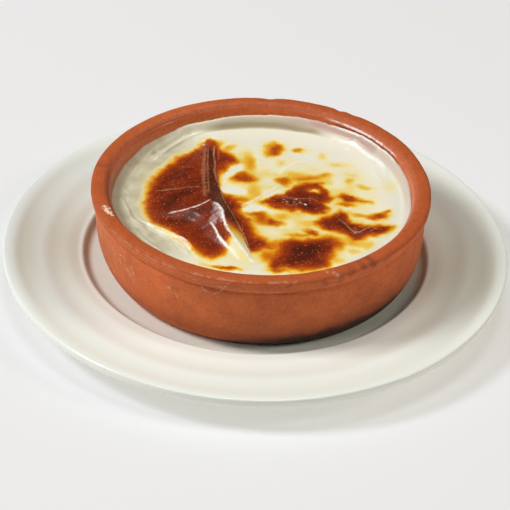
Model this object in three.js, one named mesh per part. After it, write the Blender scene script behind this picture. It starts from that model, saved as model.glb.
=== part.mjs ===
// Oven-baked rice pudding in its red clay bowl, standing on a rippled white underplate.
// Millimetres, +Z up. The origin is the middle of the underplate's foot ring, on the table.
import * as THREE from "three";

// ---- Driving dimensions ----
// Underplate: a flat plate whose wide rim carries rounded rings, with a sunken well for the bowl.
const PLATE_RADIUS = 101;
const PLATE_HEIGHT = 15;
const PLATE_EDGE = 4.4; // thickness of the rounded outer edge
const EDGE_ROUNDING = 1.3;
const RING_PITCH = 12.6; // from one ring's crest to the next
const RING_DEPTH = 0.55; // how far a ring stands above or below the rim's slope
const STEP_RADIUS = 69.8; // top edge of the step down to the well
const STEP_HEIGHT = 12.9;
const WELL_RADIUS = 63.8;
const WELL_HEIGHT = 9.3; // upper face of the well, where the bowl stands
const UNDERSIDE_HEIGHT = 4.3;
const FOOT_OUTER = 58.5;
const FOOT_INNER = 54;
const PLATE_SEGMENTS = 56;

// Clay bowl: hand thrown and thick walled, with a rolled rim over a shallow groove.
const BOWL_OFFSET = new THREE.Vector2(1.4, -0.9); // it stands a little off the plate's middle
const BOWL_HEIGHT = 35.9;
const BOWL_BASE_RADIUS = 56;
const BOWL_HEEL_RADIUS = 60; // where the rounded heel turns into the belly
const BOWL_BELLY_RADIUS = 64.9; // the swollen wall between the heel and the groove
const BOWL_BELLY_HEIGHT = 19;
const BOWL_GROOVE_RADIUS = 65.1;
const BOWL_GROOVE_HEIGHT = 29.4;
const BOWL_RIM_RADIUS = 66.9;
const BOWL_MOUTH_RADIUS = 60.5; // inner edge of the rim's top
const BOWL_INSIDE_RADIUS = 58.9; // inner wall just under the rim
const BOWL_FLOOR = 5.6; // thickness of the bottom
const BOWL_UNEVENNESS = 0.35; // how far the thrown wall runs out of round
const BOWL_SEGMENTS = 60;

// Rice pudding: fills the bowl to a level, and its baked skin climbs the wall.
const GAP = 0.3; // left between neighbouring solids
const PUDDING_LEVEL = 27.5;
const SKIN_CLIMB = 3.8; // how far the skin hangs on the wall above the level
const FRONT_CLIMB = 2.1; // how much further it hangs at the front
const CLIMB_WIDTH = 1.6; // how fast the skin rises towards the wall
const SKIN_SWELL = 0.4; // slow rise and fall of the skin
// Where the skin's rings of points lie, as shares of the way from the wall to the tent's foot, and
// from there to its peak. They are close together where the skin climbs the wall.
const SKIN_SHARES = [0, 0.02, 0.05, 0.1, 0.2, 0.4, 0.7, 1];
const TENT_SHARES = [0.3, 0.6, 0.85];
const WALL_TURN = THREE.MathUtils.degToRad(15); // wall angle that faces the first point of the tent's foot

// The fold: the baked skin is torn up into a tent with three arms, whose ridges meet in a peak.
const PEAK = new THREE.Vector2(-19.5, -9);
const PEAK_HEIGHT = 5.7; // over the level
const RIDGE_FALL = 1.25; // above 1 a ridge stays high for longer on its way down from the peak
// The tent's foot, where it meets the flat skin, as [x, y] points all the way round from its right face.
const TENT_FOOT = [
  [-12.5, -6],
  [-14.5, 1],
  [-17, 10],
  [-19, 22],
  [-20, 33],
  [-22, 46], // tip of the back arm
  [-26.5, 37],
  [-32, 26],
  [-37, 15],
  [-40, 3],
  [-40, -6],
  [-45, -13], // tip of the side arm
  [-35, -15.2],
  [-28, -16.8],
  [-25, -20],
  [-21.5, -27],
  [-15.5, -34],
  [-8, -40.5],
  [-2, -43], // tip of the front arm
  [-3.5, -35],
  [-6, -27],
  [-8.5, -18],
];

// ---- Helpers ----
const lerp = THREE.MathUtils.lerp;

// A solid of revolution about +Z from a profile of [radius, height] points.
function turned(profile, segments) {
  const points = profile.map(([radius, height]) => new THREE.Vector2(radius, height));
  return new THREE.LatheGeometry(points, segments).rotateX(Math.PI / 2);
}

// Profile points of a rounded corner, between two angles in degrees.
function rounded(radius, height, rounding, from, to, steps) {
  return Array.from({ length: steps + 1 }, (_, i) => {
    const angle = THREE.MathUtils.degToRad(lerp(from, to, i / steps));
    return [radius + rounding * Math.cos(angle), height + rounding * Math.sin(angle)];
  });
}

// A closed surface over rings of points, each counterclockwise from above: from one point below,
// out and up over the rings in turn, to one point on top.
function closedSkin(rings, bottom, top) {
  const count = rings[0].length;
  const points = [bottom, ...rings.flat(), top];
  const at = (ring, i) => 1 + ring * count + (i % count);
  const faces = [];
  for (let i = 0; i < count; i++) {
    faces.push(0, at(0, i + 1), at(0, i));
    for (let ring = 0; ring < rings.length - 1; ring++) {
      const [a, b, c, d] = [at(ring, i), at(ring, i + 1), at(ring + 1, i + 1), at(ring + 1, i)];
      faces.push(a, b, c, a, c, d);
    }
    faces.push(at(rings.length - 1, i), at(rings.length - 1, i + 1), points.length - 1);
  }
  return new THREE.BufferGeometry().setFromPoints(points).setIndex(faces);
}

// Moves each vertex of a geometry by a function of its place.
function reshape(geometry, move) {
  const position = geometry.getAttribute("position");
  const p = new THREE.Vector3();
  for (let i = 0; i < position.count; i++) {
    p.fromBufferAttribute(position, i);
    move(p);
    position.setXYZ(i, p.x, p.y, p.z);
  }
  geometry.computeVertexNormals();
  return geometry;
}

function solidMesh(name, geometry, color, roughness) {
  const material = new THREE.MeshStandardMaterial({ color, roughness, metalness: 0 });
  const mesh = new THREE.Mesh(geometry, material);
  mesh.name = name;
  return mesh;
}

// ---- Underplate ----
// Height of the rim's upper face: an even slope that carries the rounded rings.
function rimHeight(radius) {
  const outward = (radius - STEP_RADIUS) / (PLATE_RADIUS - 1 - STEP_RADIUS);
  const slope = lerp(STEP_HEIGHT, PLATE_HEIGHT - RING_DEPTH, outward);
  const ring = Math.cos((2 * Math.PI * (PLATE_RADIUS - 1 - radius)) / RING_PITCH);
  return slope + RING_DEPTH * ring * Math.min(1, 6 * outward);
}

function underplateGeometry() {
  const edgeRadius = PLATE_RADIUS - EDGE_ROUNDING;
  const edgeFoot = PLATE_HEIGHT - PLATE_EDGE;
  const underside = [
    [0, UNDERSIDE_HEIGHT],
    [FOOT_INNER - 1, UNDERSIDE_HEIGHT],
    [FOOT_INNER + 0.6, 0],
    [FOOT_OUTER - 0.8, 0],
    [FOOT_OUTER + 1.6, UNDERSIDE_HEIGHT - 0.6],
    [STEP_RADIUS + 1, STEP_HEIGHT - 5.4],
    [PLATE_RADIUS - 6, edgeFoot - 0.3],
  ];
  const edge = [
    ...rounded(edgeRadius, edgeFoot + EDGE_ROUNDING, EDGE_ROUNDING, -75, 0, 3),
    ...rounded(edgeRadius, PLATE_HEIGHT - EDGE_ROUNDING, EDGE_ROUNDING, 15, 90, 3),
  ];
  const ringPoints = 12;
  const rings = Array.from({ length: ringPoints }, (_, i) => {
    const radius = lerp(edgeRadius - 1.9, STEP_RADIUS + 1.2, i / (ringPoints - 1));
    return [radius, rimHeight(radius)];
  });
  const well = [
    [STEP_RADIUS - 1, STEP_HEIGHT - 0.5],
    [lerp(STEP_RADIUS, WELL_RADIUS, 0.6), lerp(STEP_HEIGHT, WELL_HEIGHT, 0.75)],
    [WELL_RADIUS, WELL_HEIGHT],
    [0, WELL_HEIGHT],
  ];
  return turned([...underside, ...edge, ...rings, ...well], PLATE_SEGMENTS);
}

// ---- Clay bowl ----
// Throwing by hand leaves the wall slightly out of round; the foot stays true.
function outOfRound(p) {
  const radius = Math.hypot(p.x, p.y);
  if (radius === 0) return;
  const angle = Math.atan2(p.y, p.x);
  const rise = THREE.MathUtils.smoothstep(p.z, BOWL_FLOOR, BOWL_HEIGHT);
  const swing = Math.sin(2 * angle + 0.6) + 0.5 * Math.sin(3 * angle - 1.1);
  const factor = 1 + (BOWL_UNEVENNESS * rise * swing) / BOWL_RIM_RADIUS;
  p.x *= factor;
  p.y *= factor;
}

// The bowl's inner face from under the rim to the middle of the floor, drawn in by a gap.
function insideWall(gap) {
  return [
    [BOWL_INSIDE_RADIUS - gap, BOWL_HEIGHT - 4.4],
    [BOWL_INSIDE_RADIUS - 0.9 - gap, BOWL_HEIGHT * 0.6],
    [BOWL_INSIDE_RADIUS - 2.6 - gap, BOWL_FLOOR + 7],
    [BOWL_INSIDE_RADIUS - 6.5 - gap, BOWL_FLOOR + 1.2 + gap],
    [BOWL_INSIDE_RADIUS - 11 - gap, BOWL_FLOOR + gap],
    [0, BOWL_FLOOR + gap],
  ];
}

function clayBowlGeometry() {
  const heelRounding = BOWL_HEEL_RADIUS - BOWL_BASE_RADIUS;
  const outside = [
    [0, 0],
    ...rounded(BOWL_BASE_RADIUS, heelRounding, heelRounding, -90, -25, 4),
    [lerp(BOWL_HEEL_RADIUS, BOWL_BELLY_RADIUS, 0.3), BOWL_BELLY_HEIGHT * 0.27],
    [lerp(BOWL_HEEL_RADIUS, BOWL_BELLY_RADIUS, 0.7), BOWL_BELLY_HEIGHT * 0.5],
    [lerp(BOWL_HEEL_RADIUS, BOWL_BELLY_RADIUS, 0.92), BOWL_BELLY_HEIGHT * 0.74],
    [BOWL_BELLY_RADIUS, BOWL_BELLY_HEIGHT],
    [BOWL_GROOVE_RADIUS - 0.1, BOWL_GROOVE_HEIGHT - 1.4],
    [BOWL_GROOVE_RADIUS - 0.3, BOWL_GROOVE_HEIGHT],
  ];
  const rim = [
    [BOWL_RIM_RADIUS - 0.7, BOWL_GROOVE_HEIGHT + 1.2],
    [BOWL_RIM_RADIUS, BOWL_HEIGHT - 2.6],
    [BOWL_RIM_RADIUS - 0.3, BOWL_HEIGHT - 1.1],
    [BOWL_RIM_RADIUS - 1.2, BOWL_HEIGHT - 0.2],
    [BOWL_RIM_RADIUS - 3, BOWL_HEIGHT],
    [BOWL_MOUTH_RADIUS + 0.8, BOWL_HEIGHT - 0.4],
    [BOWL_MOUTH_RADIUS - 0.3, BOWL_HEIGHT - 1.5],
  ];
  return reshape(turned([...outside, ...rim, ...insideWall(0)], BOWL_SEGMENTS), outOfRound);
}

// ---- Rice pudding ----
// Slow swell of the skin, which dies away at the wall.
function swell(x, y) {
  const inward = 1 - Math.hypot(x, y) / BOWL_INSIDE_RADIUS;
  const wave = Math.sin(0.11 * x + 0.9) * Math.cos(0.09 * y - 0.4) + 0.4 * Math.sin(0.21 * y + 0.13 * x);
  return SKIN_SWELL * wave * Math.min(1, 4 * Math.max(0, inward));
}

// How far the skin stands above the level, as it climbs the wall.
function climb(x, y) {
  const radius = Math.hypot(x, y);
  const front = Math.max(0, -y / BOWL_INSIDE_RADIUS) ** 2;
  const height = SKIN_CLIMB + FRONT_CLIMB * front;
  return height * Math.exp((radius - (BOWL_INSIDE_RADIUS - GAP)) / CLIMB_WIDTH);
}

// One point of the skin: an [x, y] place and the tent's height there, lifted to the skin's own height.
function skinPoint(x, y, tentHeight) {
  return new THREE.Vector3(x, y, PUDDING_LEVEL + swell(x, y) + climb(x, y) + tentHeight);
}

// The pudding as closed rings of points: up the bowl's inner face, in over the skin to the tent's
// foot, and up the tent to its peak. Each ring has one point for each point along the tent's foot.
function puddingGeometry() {
  const closedFoot = TENT_FOOT.map(([x, y]) => new THREE.Vector3(x, y, 0));
  const foot = new THREE.CatmullRomCurve3(closedFoot, true, "catmullrom", 0.2);
  const feet = Array.from({ length: 3 * TENT_FOOT.length }, (_, i) => foot.getPoint(i / (3 * TENT_FOOT.length)));
  const footRing = feet.map(({ x, y }) => new THREE.Vector2(x, y));
  const contactRadius = BOWL_INSIDE_RADIUS - GAP;
  const wallAngles = footRing.map((p, i) => lerp(0, 2 * Math.PI, i / footRing.length) + WALL_TURN);
  const wallRing = wallAngles.map((angle) => new THREE.Vector2(Math.cos(angle), Math.sin(angle)));

  const rings = insideWall(GAP)
    .slice(1, -1)
    .reverse()
    .map(([radius, height]) => wallRing.map((p) => new THREE.Vector3(radius * p.x, radius * p.y, height)));
  for (const inward of SKIN_SHARES) {
    rings.push(
      wallRing.map((p, i) => {
        const place = p.clone().multiplyScalar(contactRadius).lerp(footRing[i], inward);
        return skinPoint(place.x, place.y, 0);
      }),
    );
  }
  for (const up of TENT_SHARES) {
    rings.push(
      footRing.map((p) => {
        const place = p.clone().lerp(PEAK, up);
        return skinPoint(place.x, place.y, PEAK_HEIGHT * (1 - (1 - up) ** RIDGE_FALL));
      }),
    );
  }
  const bottom = new THREE.Vector3(0, 0, BOWL_FLOOR + GAP);
  return reshape(closedSkin(rings, bottom, skinPoint(PEAK.x, PEAK.y, PEAK_HEIGHT)), outOfRound);
}

// ---- The object ----
const serving = new THREE.Group();
serving.name = "rice_pudding";
serving.add(solidMesh("underplate", underplateGeometry(), 0xe9e6da, 0.18));

const filledBowl = new THREE.Group();
filledBowl.position.set(BOWL_OFFSET.x, BOWL_OFFSET.y, WELL_HEIGHT);
filledBowl.add(solidMesh("clay_bowl", clayBowlGeometry(), 0xb4603a, 0.85));
filledBowl.add(solidMesh("pudding", puddingGeometry(), 0xece2b8, 0.45));
serving.add(filledBowl);

export default serving;
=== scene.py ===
"""Oven-baked rice pudding in its red clay bowl, standing on a ringed stoneware underplate.

Places and sizes are millimetres, and MM turns them into Blender's metres. The bowl and the pudding are worked
out around the bowl's own axis and above its base, and BOWL_PLACE sets both on the plate.
"""

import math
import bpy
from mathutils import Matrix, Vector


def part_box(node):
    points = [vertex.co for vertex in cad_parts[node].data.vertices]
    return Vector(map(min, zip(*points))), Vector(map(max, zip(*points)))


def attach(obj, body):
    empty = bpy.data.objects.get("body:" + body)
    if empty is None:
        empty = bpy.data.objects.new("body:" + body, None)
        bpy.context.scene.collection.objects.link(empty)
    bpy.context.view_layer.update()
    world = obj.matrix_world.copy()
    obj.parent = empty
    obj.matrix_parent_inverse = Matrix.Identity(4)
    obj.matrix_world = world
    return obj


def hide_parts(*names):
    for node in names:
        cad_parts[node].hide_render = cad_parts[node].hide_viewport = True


bl_info = {
    "name": "Baked rice pudding",
    "version": (1, 0, 0),
    "blender": (4, 5, 0),
    "location": "View3D > Sidebar > Rice pudding",
    "description": "Makes a baked rice pudding in a clay bowl on its underplate, with a plain stage",
    "category": "Add Mesh",
}

import bpy
import numpy as np
from mathutils import Matrix, Vector

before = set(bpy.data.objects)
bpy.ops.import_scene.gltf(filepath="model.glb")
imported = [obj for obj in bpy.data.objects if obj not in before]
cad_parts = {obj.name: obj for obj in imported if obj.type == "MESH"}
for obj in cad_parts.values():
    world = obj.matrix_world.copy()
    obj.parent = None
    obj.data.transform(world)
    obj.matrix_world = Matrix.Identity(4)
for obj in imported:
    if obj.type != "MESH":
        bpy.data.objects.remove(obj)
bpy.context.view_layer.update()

MM = 0.001
PLATE_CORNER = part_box("underplate")[1] / MM
BOWL_LOW, BOWL_HIGH = (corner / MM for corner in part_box("clay_bowl"))
BOWL_HEIGHT = BOWL_HIGH.z - BOWL_LOW.z
BOWL_PLACE = np.array([1.4, -0.9, BOWL_LOW.z])

# ---- Underplate ----
PLATE_RADIUS = PLATE_CORNER.x
PLATE_HEIGHT = PLATE_CORNER.z
PLATE_SEGMENTS = 288
PLATE_EDGE = 4.4
EDGE_ROUNDING = 1.3
OUTER_RING = PLATE_RADIUS - 1  # radius of the outermost ring's crest
RING_PITCH = 12.6
STEP_RADIUS = 69.8
STEP_HEIGHT = 12.9
WELL_RADIUS = 63.8
WELL_HEIGHT = BOWL_LOW.z
UNDERSIDE_HEIGHT = 4.3
FOOT_OUTER = 58.5
FOOT_INNER = 54.0

# ---- Clay bowl ----
BOWL_FLOOR = 5.6
BOWL_INSIDE_RADIUS = 58.9
BOWL_RIM_RADIUS = 66.9
BOWL_SEGMENTS = 480
RIM_TURN = 61.8  # radius where the top of the rim turns down to the inside
FOOT_SHIFT = 0.4  # how far the foot was thrown off the middle, towards +X
SWAY = 0.35  # how far the wall sways out of round at the rim
THROWING_PITCH = 2.3  # from one throwing line to the next
THROWING_DEPTH = 0.07
# The inner wall from the rim down to the floor, as (radius, height, rounding).
INNER_WALL = [
    (61.5, 35.6, 0.8), (60.2, 33.9, 1), (59, 31.2, 1.4), (58, 21.5, 4), (56.3, 12.6, 3), (52.4, 6.8, 3),
    (47.9, BOWL_FLOOR, 2),
]

# ---- Skin of the pudding ----
PUDDING_LEVEL = 27.5
SKIN_CLIMB = 3.8
FRONT_CLIMB = 2.1
BACK_CLIMB = 1.0
BACK_CLIMB_TURN = math.radians(50)
BACK_CLIMB_SPREAD = math.radians(30)
CLIMB_WIDTH = 1.6
# How far the hanging edge has sunk, as (angle in degrees, sag).
EDGE_SAG = [(104, 0), (120, 0.7), (140, 1.5), (165, 2.5), (190, 2.5), (215, 1.2), (240, 0)]
SKIN_EDGE_RADIUS = 59
SKIN_EDGE_THICKNESS = 0.9
SKIN_OVERLAP = 0.12  # how far the skin's edge reaches into the wall
SKIN_SWELL = 0.4
PUDDING_CLEARANCE = 0.3  # between the pudding and the bowl below the skin
SIDE_HEIGHTS = (24, 12.6, 6.4)  # of the rings down the pudding's hidden side
GRID = 290  # squares along each side of the skin's mesh, about 0.4 across

# The fold torn up out of the skin, as (x, y, height over the level): three ridges that meet in the peak, and
# a second, lower one beside the front ridge.
PEAK = (-19.5, -9, 5.6)
BACK_TIP = (-22, 46)
FRONT_TIP = (-2, -43)
BACK_RIDGE = [(*BACK_TIP, 0.2), (-23.5, 36, 1.3), (-23, 22, 2.6), (-22.5, 6, 4.0), PEAK]
FRONT_RIDGE = [
    PEAK, (-17, -10.8, 5.5), (-15.2, -14.5, 5.3), (-14.4, -18.5, 5.0), (-12.4, -25.4, 4.1),
    (-8.6, -31.8, 2.9), (-5.4, -37, 1.8), (*FRONT_TIP, 0.3),
]
SIDE_RIDGE = [PEAK, (-25, -10.8, 4.1), (-30, -12.2, 2.7), (-36, -11.4, 1.3), (-44, -13, 0.2)]
SECOND_RIDGE = [
    (-20, -20.5, 3.3), (-18, -24, 3.1), (-16, -28, 2.8), (-12, -34, 2.1), (-7, -39, 1.3), (-3, -43, 0.3),
]
FOLD_RIDGES = [BACK_RIDGE, FRONT_RIDGE, SIDE_RIDGE, SECOND_RIDGE]
# Where the fold's right face meets the flat skin, from the back tip to the front tip.
FOLD_CONTACT = [
    BACK_TIP, (-20, 33), (-19, 22), (-17, 10), (-14.5, 1), (-12.5, -6), (-8.5, -18), (-6, -27), (-3.5, -35),
    FRONT_TIP,
]
# Where its left faces run out in the flat skin, from the front tip to the back tip.
FOLD_RUNOUT = [
    FRONT_TIP, (-8, -40.5), (-15.5, -34), (-21.5, -27), (-25, -20), (-28, -16.8), (-35, -15.2), (-45, -13),
    (-40, -6), (-40, 3), (-37, 15), (-32, 26), (-26.5, 37), BACK_TIP,
]


# ---- Shapes from numbers ----
def smooth(share):
    """Eases a share from 0 to 1 in and out."""
    share = np.clip(share, 0, 1)
    return share * share * (3 - 2 * share)


def hump(value, middle, spread):
    """1 where a value is at its middle, falling away to 0 on both sides over its spread."""
    return np.exp(-(((value - middle) / spread) ** 2))


def band(value, start, fade_in, end, fade_out):
    """0 where a value lies outside start and end, eased up to 1 between them over the two fades."""
    return smooth((value - start) / fade_in) * smooth((end - value) / fade_out)


def faded_ends(share, fade):
    """0 at both ends of a line and 1 along its middle, from each place's share of the way along it."""
    return smooth(np.minimum(share, 1 - share) / fade)


def bumps(places, size, seed):
    """Seeded smooth noise from -1 to 1 at each (x, y, z) place, with bumps about size across."""
    count = 32
    lattice = np.random.default_rng(seed).uniform(-1, 1, (count, count, count))
    cells = places / size
    low = np.floor(cells).astype(int)
    weights = smooth(cells - low)
    total = np.zeros(len(places))
    for corner in np.ndindex(2, 2, 2):
        share = np.prod(np.where(corner, weights, 1 - weights), axis=1)
        x, y, z = ((low + corner) % count).T
        total += share * lattice[x, y, z]
    return total


def flat_bumps(x, y, size, seed):
    """Seeded smooth noise from -1 to 1 over flat places."""
    flat = np.stack([x, y, 0 * x], axis=-1).reshape(-1, 3)
    return bumps(flat, size, seed).reshape(x.shape)


def around_axis(places):
    """Angle in degrees, radius and height of each place about the axis."""
    x, y, height = places.T
    return np.degrees(np.arctan2(y, x)), np.hypot(x, y), height


def near_line(x, y, line):
    """Distance from each place to a line, and the nearest point's share of the way along and third value."""
    points = np.array(line, float)
    lengths = np.hypot(*np.diff(points[:, :2], axis=0).T)
    starts = np.concatenate([[0], np.cumsum(lengths)])
    best = np.full(x.shape, np.inf)
    share = np.zeros(x.shape)
    value = np.zeros(x.shape)
    for i, length in enumerate(lengths):
        step = points[i + 1] - points[i]
        along = ((x - points[i, 0]) * step[0] + (y - points[i, 1]) * step[1]) / length**2
        along = np.clip(along, 0, 1)
        away = np.hypot(x - points[i, 0] - along * step[0], y - points[i, 1] - along * step[1])
        nearer = away < best
        best = np.where(nearer, away, best)
        share = np.where(nearer, (starts[i] + along * length) / starts[-1], share)
        if points.shape[1] > 2:
            value = np.where(nearer, points[i, 2] + along * step[2], value)
    return best, share, value


def curved(line):
    """A line of points drawn as a smooth curve through them, with three new points between each two."""
    points = np.array(line, float)
    before = np.concatenate([2 * points[:1] - points[1:2], points[:-2]])
    after = np.concatenate([points[2:], 2 * points[-1:] - points[-2:-1]])
    drawn = []
    for a, b, c, d in zip(before, points[:-1], points[1:], after):
        slope, bend, twist = c - a, 2 * a - 5 * b + 4 * c - d, 3 * b - a - 3 * c + d
        for t in (0, 0.25, 0.5, 0.75):
            drawn.append(0.5 * (2 * b + slope * t + bend * t**2 + twist * t**3))
    return [*drawn, points[-1]]


def inside(x, y, outline):
    """Which places lie inside a closed outline."""
    points = np.array(outline, float)[:, :2]
    within = np.zeros(x.shape, bool)
    for (ax, ay), (bx, by) in zip(points, np.roll(points, -1, axis=0)):
        if ay != by:
            crosses = (ay > y) != (by > y)
            within ^= crosses & (x < ax + (y - ay) * (bx - ax) / (by - ay))
    return within


def depth_inside(x, y, outline):
    """How far each place lies inside a closed outline, and below 0 outside it."""
    away = near_line(x, y, [*outline, outline[0]])[0]
    return np.where(inside(x, y, outline), away, -away)


def softened(points, spacing):
    """A profile of (radius, height, rounding) corners as close points, with each corner rounded that far."""
    corners = [np.array(point, float) for point in points]
    line = [corners[0][:2]]
    for before, corner, after in zip(corners, corners[1:], corners[2:]):
        rounding = corner[2]
        come = before[:2] - corner[:2]
        go = after[:2] - corner[:2]
        start = corner[:2] + come * min(0.49, rounding / np.hypot(*come))
        end = corner[:2] + go * min(0.49, rounding / np.hypot(*go))
        for t in np.linspace(0, 1, 7):
            line.append(start * (1 - t) ** 2 + 2 * corner[:2] * t * (1 - t) + end * t**2)
    line.append(corners[-1][:2])
    close = [line[0]]
    for start, end in zip(line, line[1:]):
        steps = max(1, math.ceil(np.hypot(*(end - start)) / spacing))
        close += [start + (end - start) * i / steps for i in range(1, steps + 1)]
    return np.array(close)


def turned_places(profile, segments):
    """A profile turned about the axis: rings of (x, y, z) places, counterclockwise from above."""
    angles = np.linspace(0, 2 * math.pi, segments, endpoint=False)
    radius, height = profile[:, :1], profile[:, 1:]
    return np.stack([radius * np.cos(angles), radius * np.sin(angles), height + 0 * angles], axis=-1)


def ring_faces(rings, segments, first):
    """Faces between rings of vertices, where first is the index of the first vertex."""
    ring, i = np.meshgrid(np.arange(rings - 1), np.arange(segments), indexing="ij")
    low = first + ring * segments
    corners = [low + i, low + (i + 1) % segments, low + segments + (i + 1) % segments, low + segments + i]
    return np.stack([c.ravel() for c in corners], axis=-1).tolist()


def new_piece(name, places, faces, marks, materials):
    """A smooth mesh object from millimetre places, with a point attribute for each of its marks."""
    mesh = bpy.data.meshes.new(name)
    mesh.from_pydata((places * MM).tolist(), [], faces)
    for mark, values in marks.items():
        mesh.attributes.new(mark, "FLOAT", "POINT").data.foreach_set("value", values.astype(np.float32))
    for material in materials:
        mesh.materials.append(material)
    mesh.shade_smooth()
    mesh.validate()
    piece = bpy.data.objects.new(name, mesh)
    bpy.context.scene.collection.objects.link(piece)
    return piece


def turned_piece(name, rings, marks_of, materials, place):
    """A closed turned solid from rings of places that start and end on the axis, set down at a place."""
    count, segments = rings.shape[:2]
    places = np.concatenate([rings[0, :1], rings[1:-1].reshape(-1, 3), rings[-1, :1]])
    last = len(places) - 1
    faces = ring_faces(count - 2, segments, 1)
    top = 1 + (count - 3) * segments
    for i in range(segments):
        after = (i + 1) % segments
        faces.append([0, 1 + after, 1 + i])
        faces.append([top + i, top + after, last])
    return new_piece(name, places + place, faces, marks_of(places), materials)


# ---- Underplate ----
def rim_height(radius, ring_depth):
    """Height of the rim's upper face: an even slope that carries the rounded rings."""
    outward = (radius - STEP_RADIUS) / (OUTER_RING - STEP_RADIUS)
    slope = STEP_HEIGHT + (PLATE_HEIGHT - ring_depth - STEP_HEIGHT) * outward
    ring = np.cos(2 * math.pi * (OUTER_RING - radius) / RING_PITCH)
    return slope + ring_depth * ring * np.minimum(1, 6 * outward)


def underplate_rings(ring_depth):
    """Rings of places over the underplate, from the middle of its underside to the middle of its well."""
    edge_foot = PLATE_HEIGHT - PLATE_EDGE
    underside = [
        (0, UNDERSIDE_HEIGHT, 0),
        (FOOT_INNER - 1, UNDERSIDE_HEIGHT, 1.2),
        (FOOT_INNER + 0.3, 0, 0.8),
        (FOOT_OUTER - 0.3, 0, 0.9),
        (FOOT_OUTER + 1.6, UNDERSIDE_HEIGHT - 0.6, 1.6),
        (STEP_RADIUS + 1, STEP_HEIGHT - 5.4, 6),
        (PLATE_RADIUS - 6, edge_foot - 0.3, 4),
        (PLATE_RADIUS - 3, edge_foot, 0),
    ]
    edge = [
        (PLATE_RADIUS - 3, edge_foot, 0),
        (PLATE_RADIUS - 0.7, edge_foot + 0.2, EDGE_ROUNDING),
        (PLATE_RADIUS, PLATE_HEIGHT - 1.5, EDGE_ROUNDING),
        (PLATE_RADIUS - 0.3, PLATE_HEIGHT, EDGE_ROUNDING),
        (PLATE_RADIUS - 2.4, rim_height(PLATE_RADIUS - 2.4, ring_depth), 0),
    ]
    rings = np.arange(PLATE_RADIUS - 2.9, STEP_RADIUS + 0.8, -0.5)
    well = [
        (STEP_RADIUS + 0.7, rim_height(STEP_RADIUS + 0.7, ring_depth), 0),
        (STEP_RADIUS - 0.7, STEP_HEIGHT - 0.1, 1.2),
        (WELL_RADIUS + 2.4, WELL_HEIGHT + 0.5, 1.8),
        (WELL_RADIUS, WELL_HEIGHT, 1.4),
        (WELL_RADIUS - 3, WELL_HEIGHT, 0),
    ]
    profile = np.concatenate([
        softened(underside, 3),
        softened(edge, 0.5)[1:],
        np.stack([rings, rim_height(rings, ring_depth)], axis=-1),
        softened(well, 0.5),
        [(WELL_RADIUS - 20, WELL_HEIGHT), (0, WELL_HEIGHT)],
    ])
    return turned_places(profile, PLATE_SEGMENTS)


def plate_marks(places):
    """How deep the glaze lies, and where shade and light are painted onto it.

    The glaze lies shallow and even in the well and half deep between the rings. Painted shade darkens the
    foot of the step, where the step's shadow falls. Painted shade also dims the rim's two sides: the left,
    which faces away from the light, and the right, where the bowl's shadow falls. The outer edge is painted
    lighter where light catches it, and the glaze runs thinner there.
    """
    turn, radius, height = around_axis(places)
    upper = height > UNDERSIDE_HEIGHT
    wave = 0.5 - 0.5 * np.cos(2 * math.pi * (OUTER_RING - radius) / RING_PITCH)
    between = 0.3 + 0.35 * wave * smooth((radius - STEP_RADIUS) / 3) * upper
    # Painted shade at the foot of the step, where the step's shadow falls; the glaze is deeper between the
    # rings.
    step_foot_shade = hump(radius - STEP_RADIUS, -1.9, 2.4)
    outside_well = 1 - smooth((WELL_RADIUS + 2 - radius) / 3)
    # Painted shade on the rim's left and right sides, in a band between the step and the edge.
    sides = hump(turn % 360, 182, 27) + 0.62 * hump(turn, -10, 22)
    shade_inner, shade_outer, less_shaded_ring = 69, 98, 85.5
    bands = band(radius, shade_inner, 3, shade_outer, 4) * (1 - 0.5 * hump(radius, less_shaded_ring, 2.6))
    return {
        "pooled_and_step_shade": np.maximum(between * outside_well, step_foot_shade),
        "painted_side_shade": sides * bands * upper,
        # Painted light on the outer edge, where light catches it and the glaze also runs thinner.
        "lip": smooth(radius - 99) * smooth(PLATE_HEIGHT - 0.4 - height),
    }


# ---- Clay bowl ----
# Small chips and dents as (angle, radius, height, width, depth): the clay is pushed in round each place.
# Every angle in these tables is in degrees, from +X towards +Y.
RIM_DENTS = [
    (91, 64.5, 35.9, 1.6, 0.25), (88.5, 65.5, 35.9, 2.4, 0.55), (62.5, 66.0, 35.7, 1.6, 0.55),
    (57, 66.4, 35.5, 2.6, 0.25), (43, 66.6, 35.4, 1.6, 0.12), (-116.4, 66.3, 35.2, 0.8, 0.3),
    (-110, 66.3, 35.3, 0.9, 0.3), (-101.8, 66.3, 35.3, 1.2, 0.35), (-93, 66.3, 35.3, 0.7, 0.25),
    (-86, 66.3, 35.3, 1.0, 0.3), (-81.4, 66.3, 35.3, 1.1, 0.35), (-74, 66.3, 35.3, 1.4, 0.3),
    (-65.4, 66.4, 34.6, 1.0, 0.35), (-59, 66.4, 34.9, 1.6, 0.3), (-70.8, 66.2, 31.7, 0.9, 0.45),
    (-45.4, 62.9, 17.5, 0.9, 0.4), (-52, 65.0, 27.5, 1.2, 0.25), (162.8, 61.0, 35.6, 0.7, 0.4),
    (165, 60.9, 35.6, 0.8, 0.45), (168, 60.8, 35.6, 0.8, 0.4), (9.4, 61, 35.7, 0.6, 0.4),
]


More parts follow.
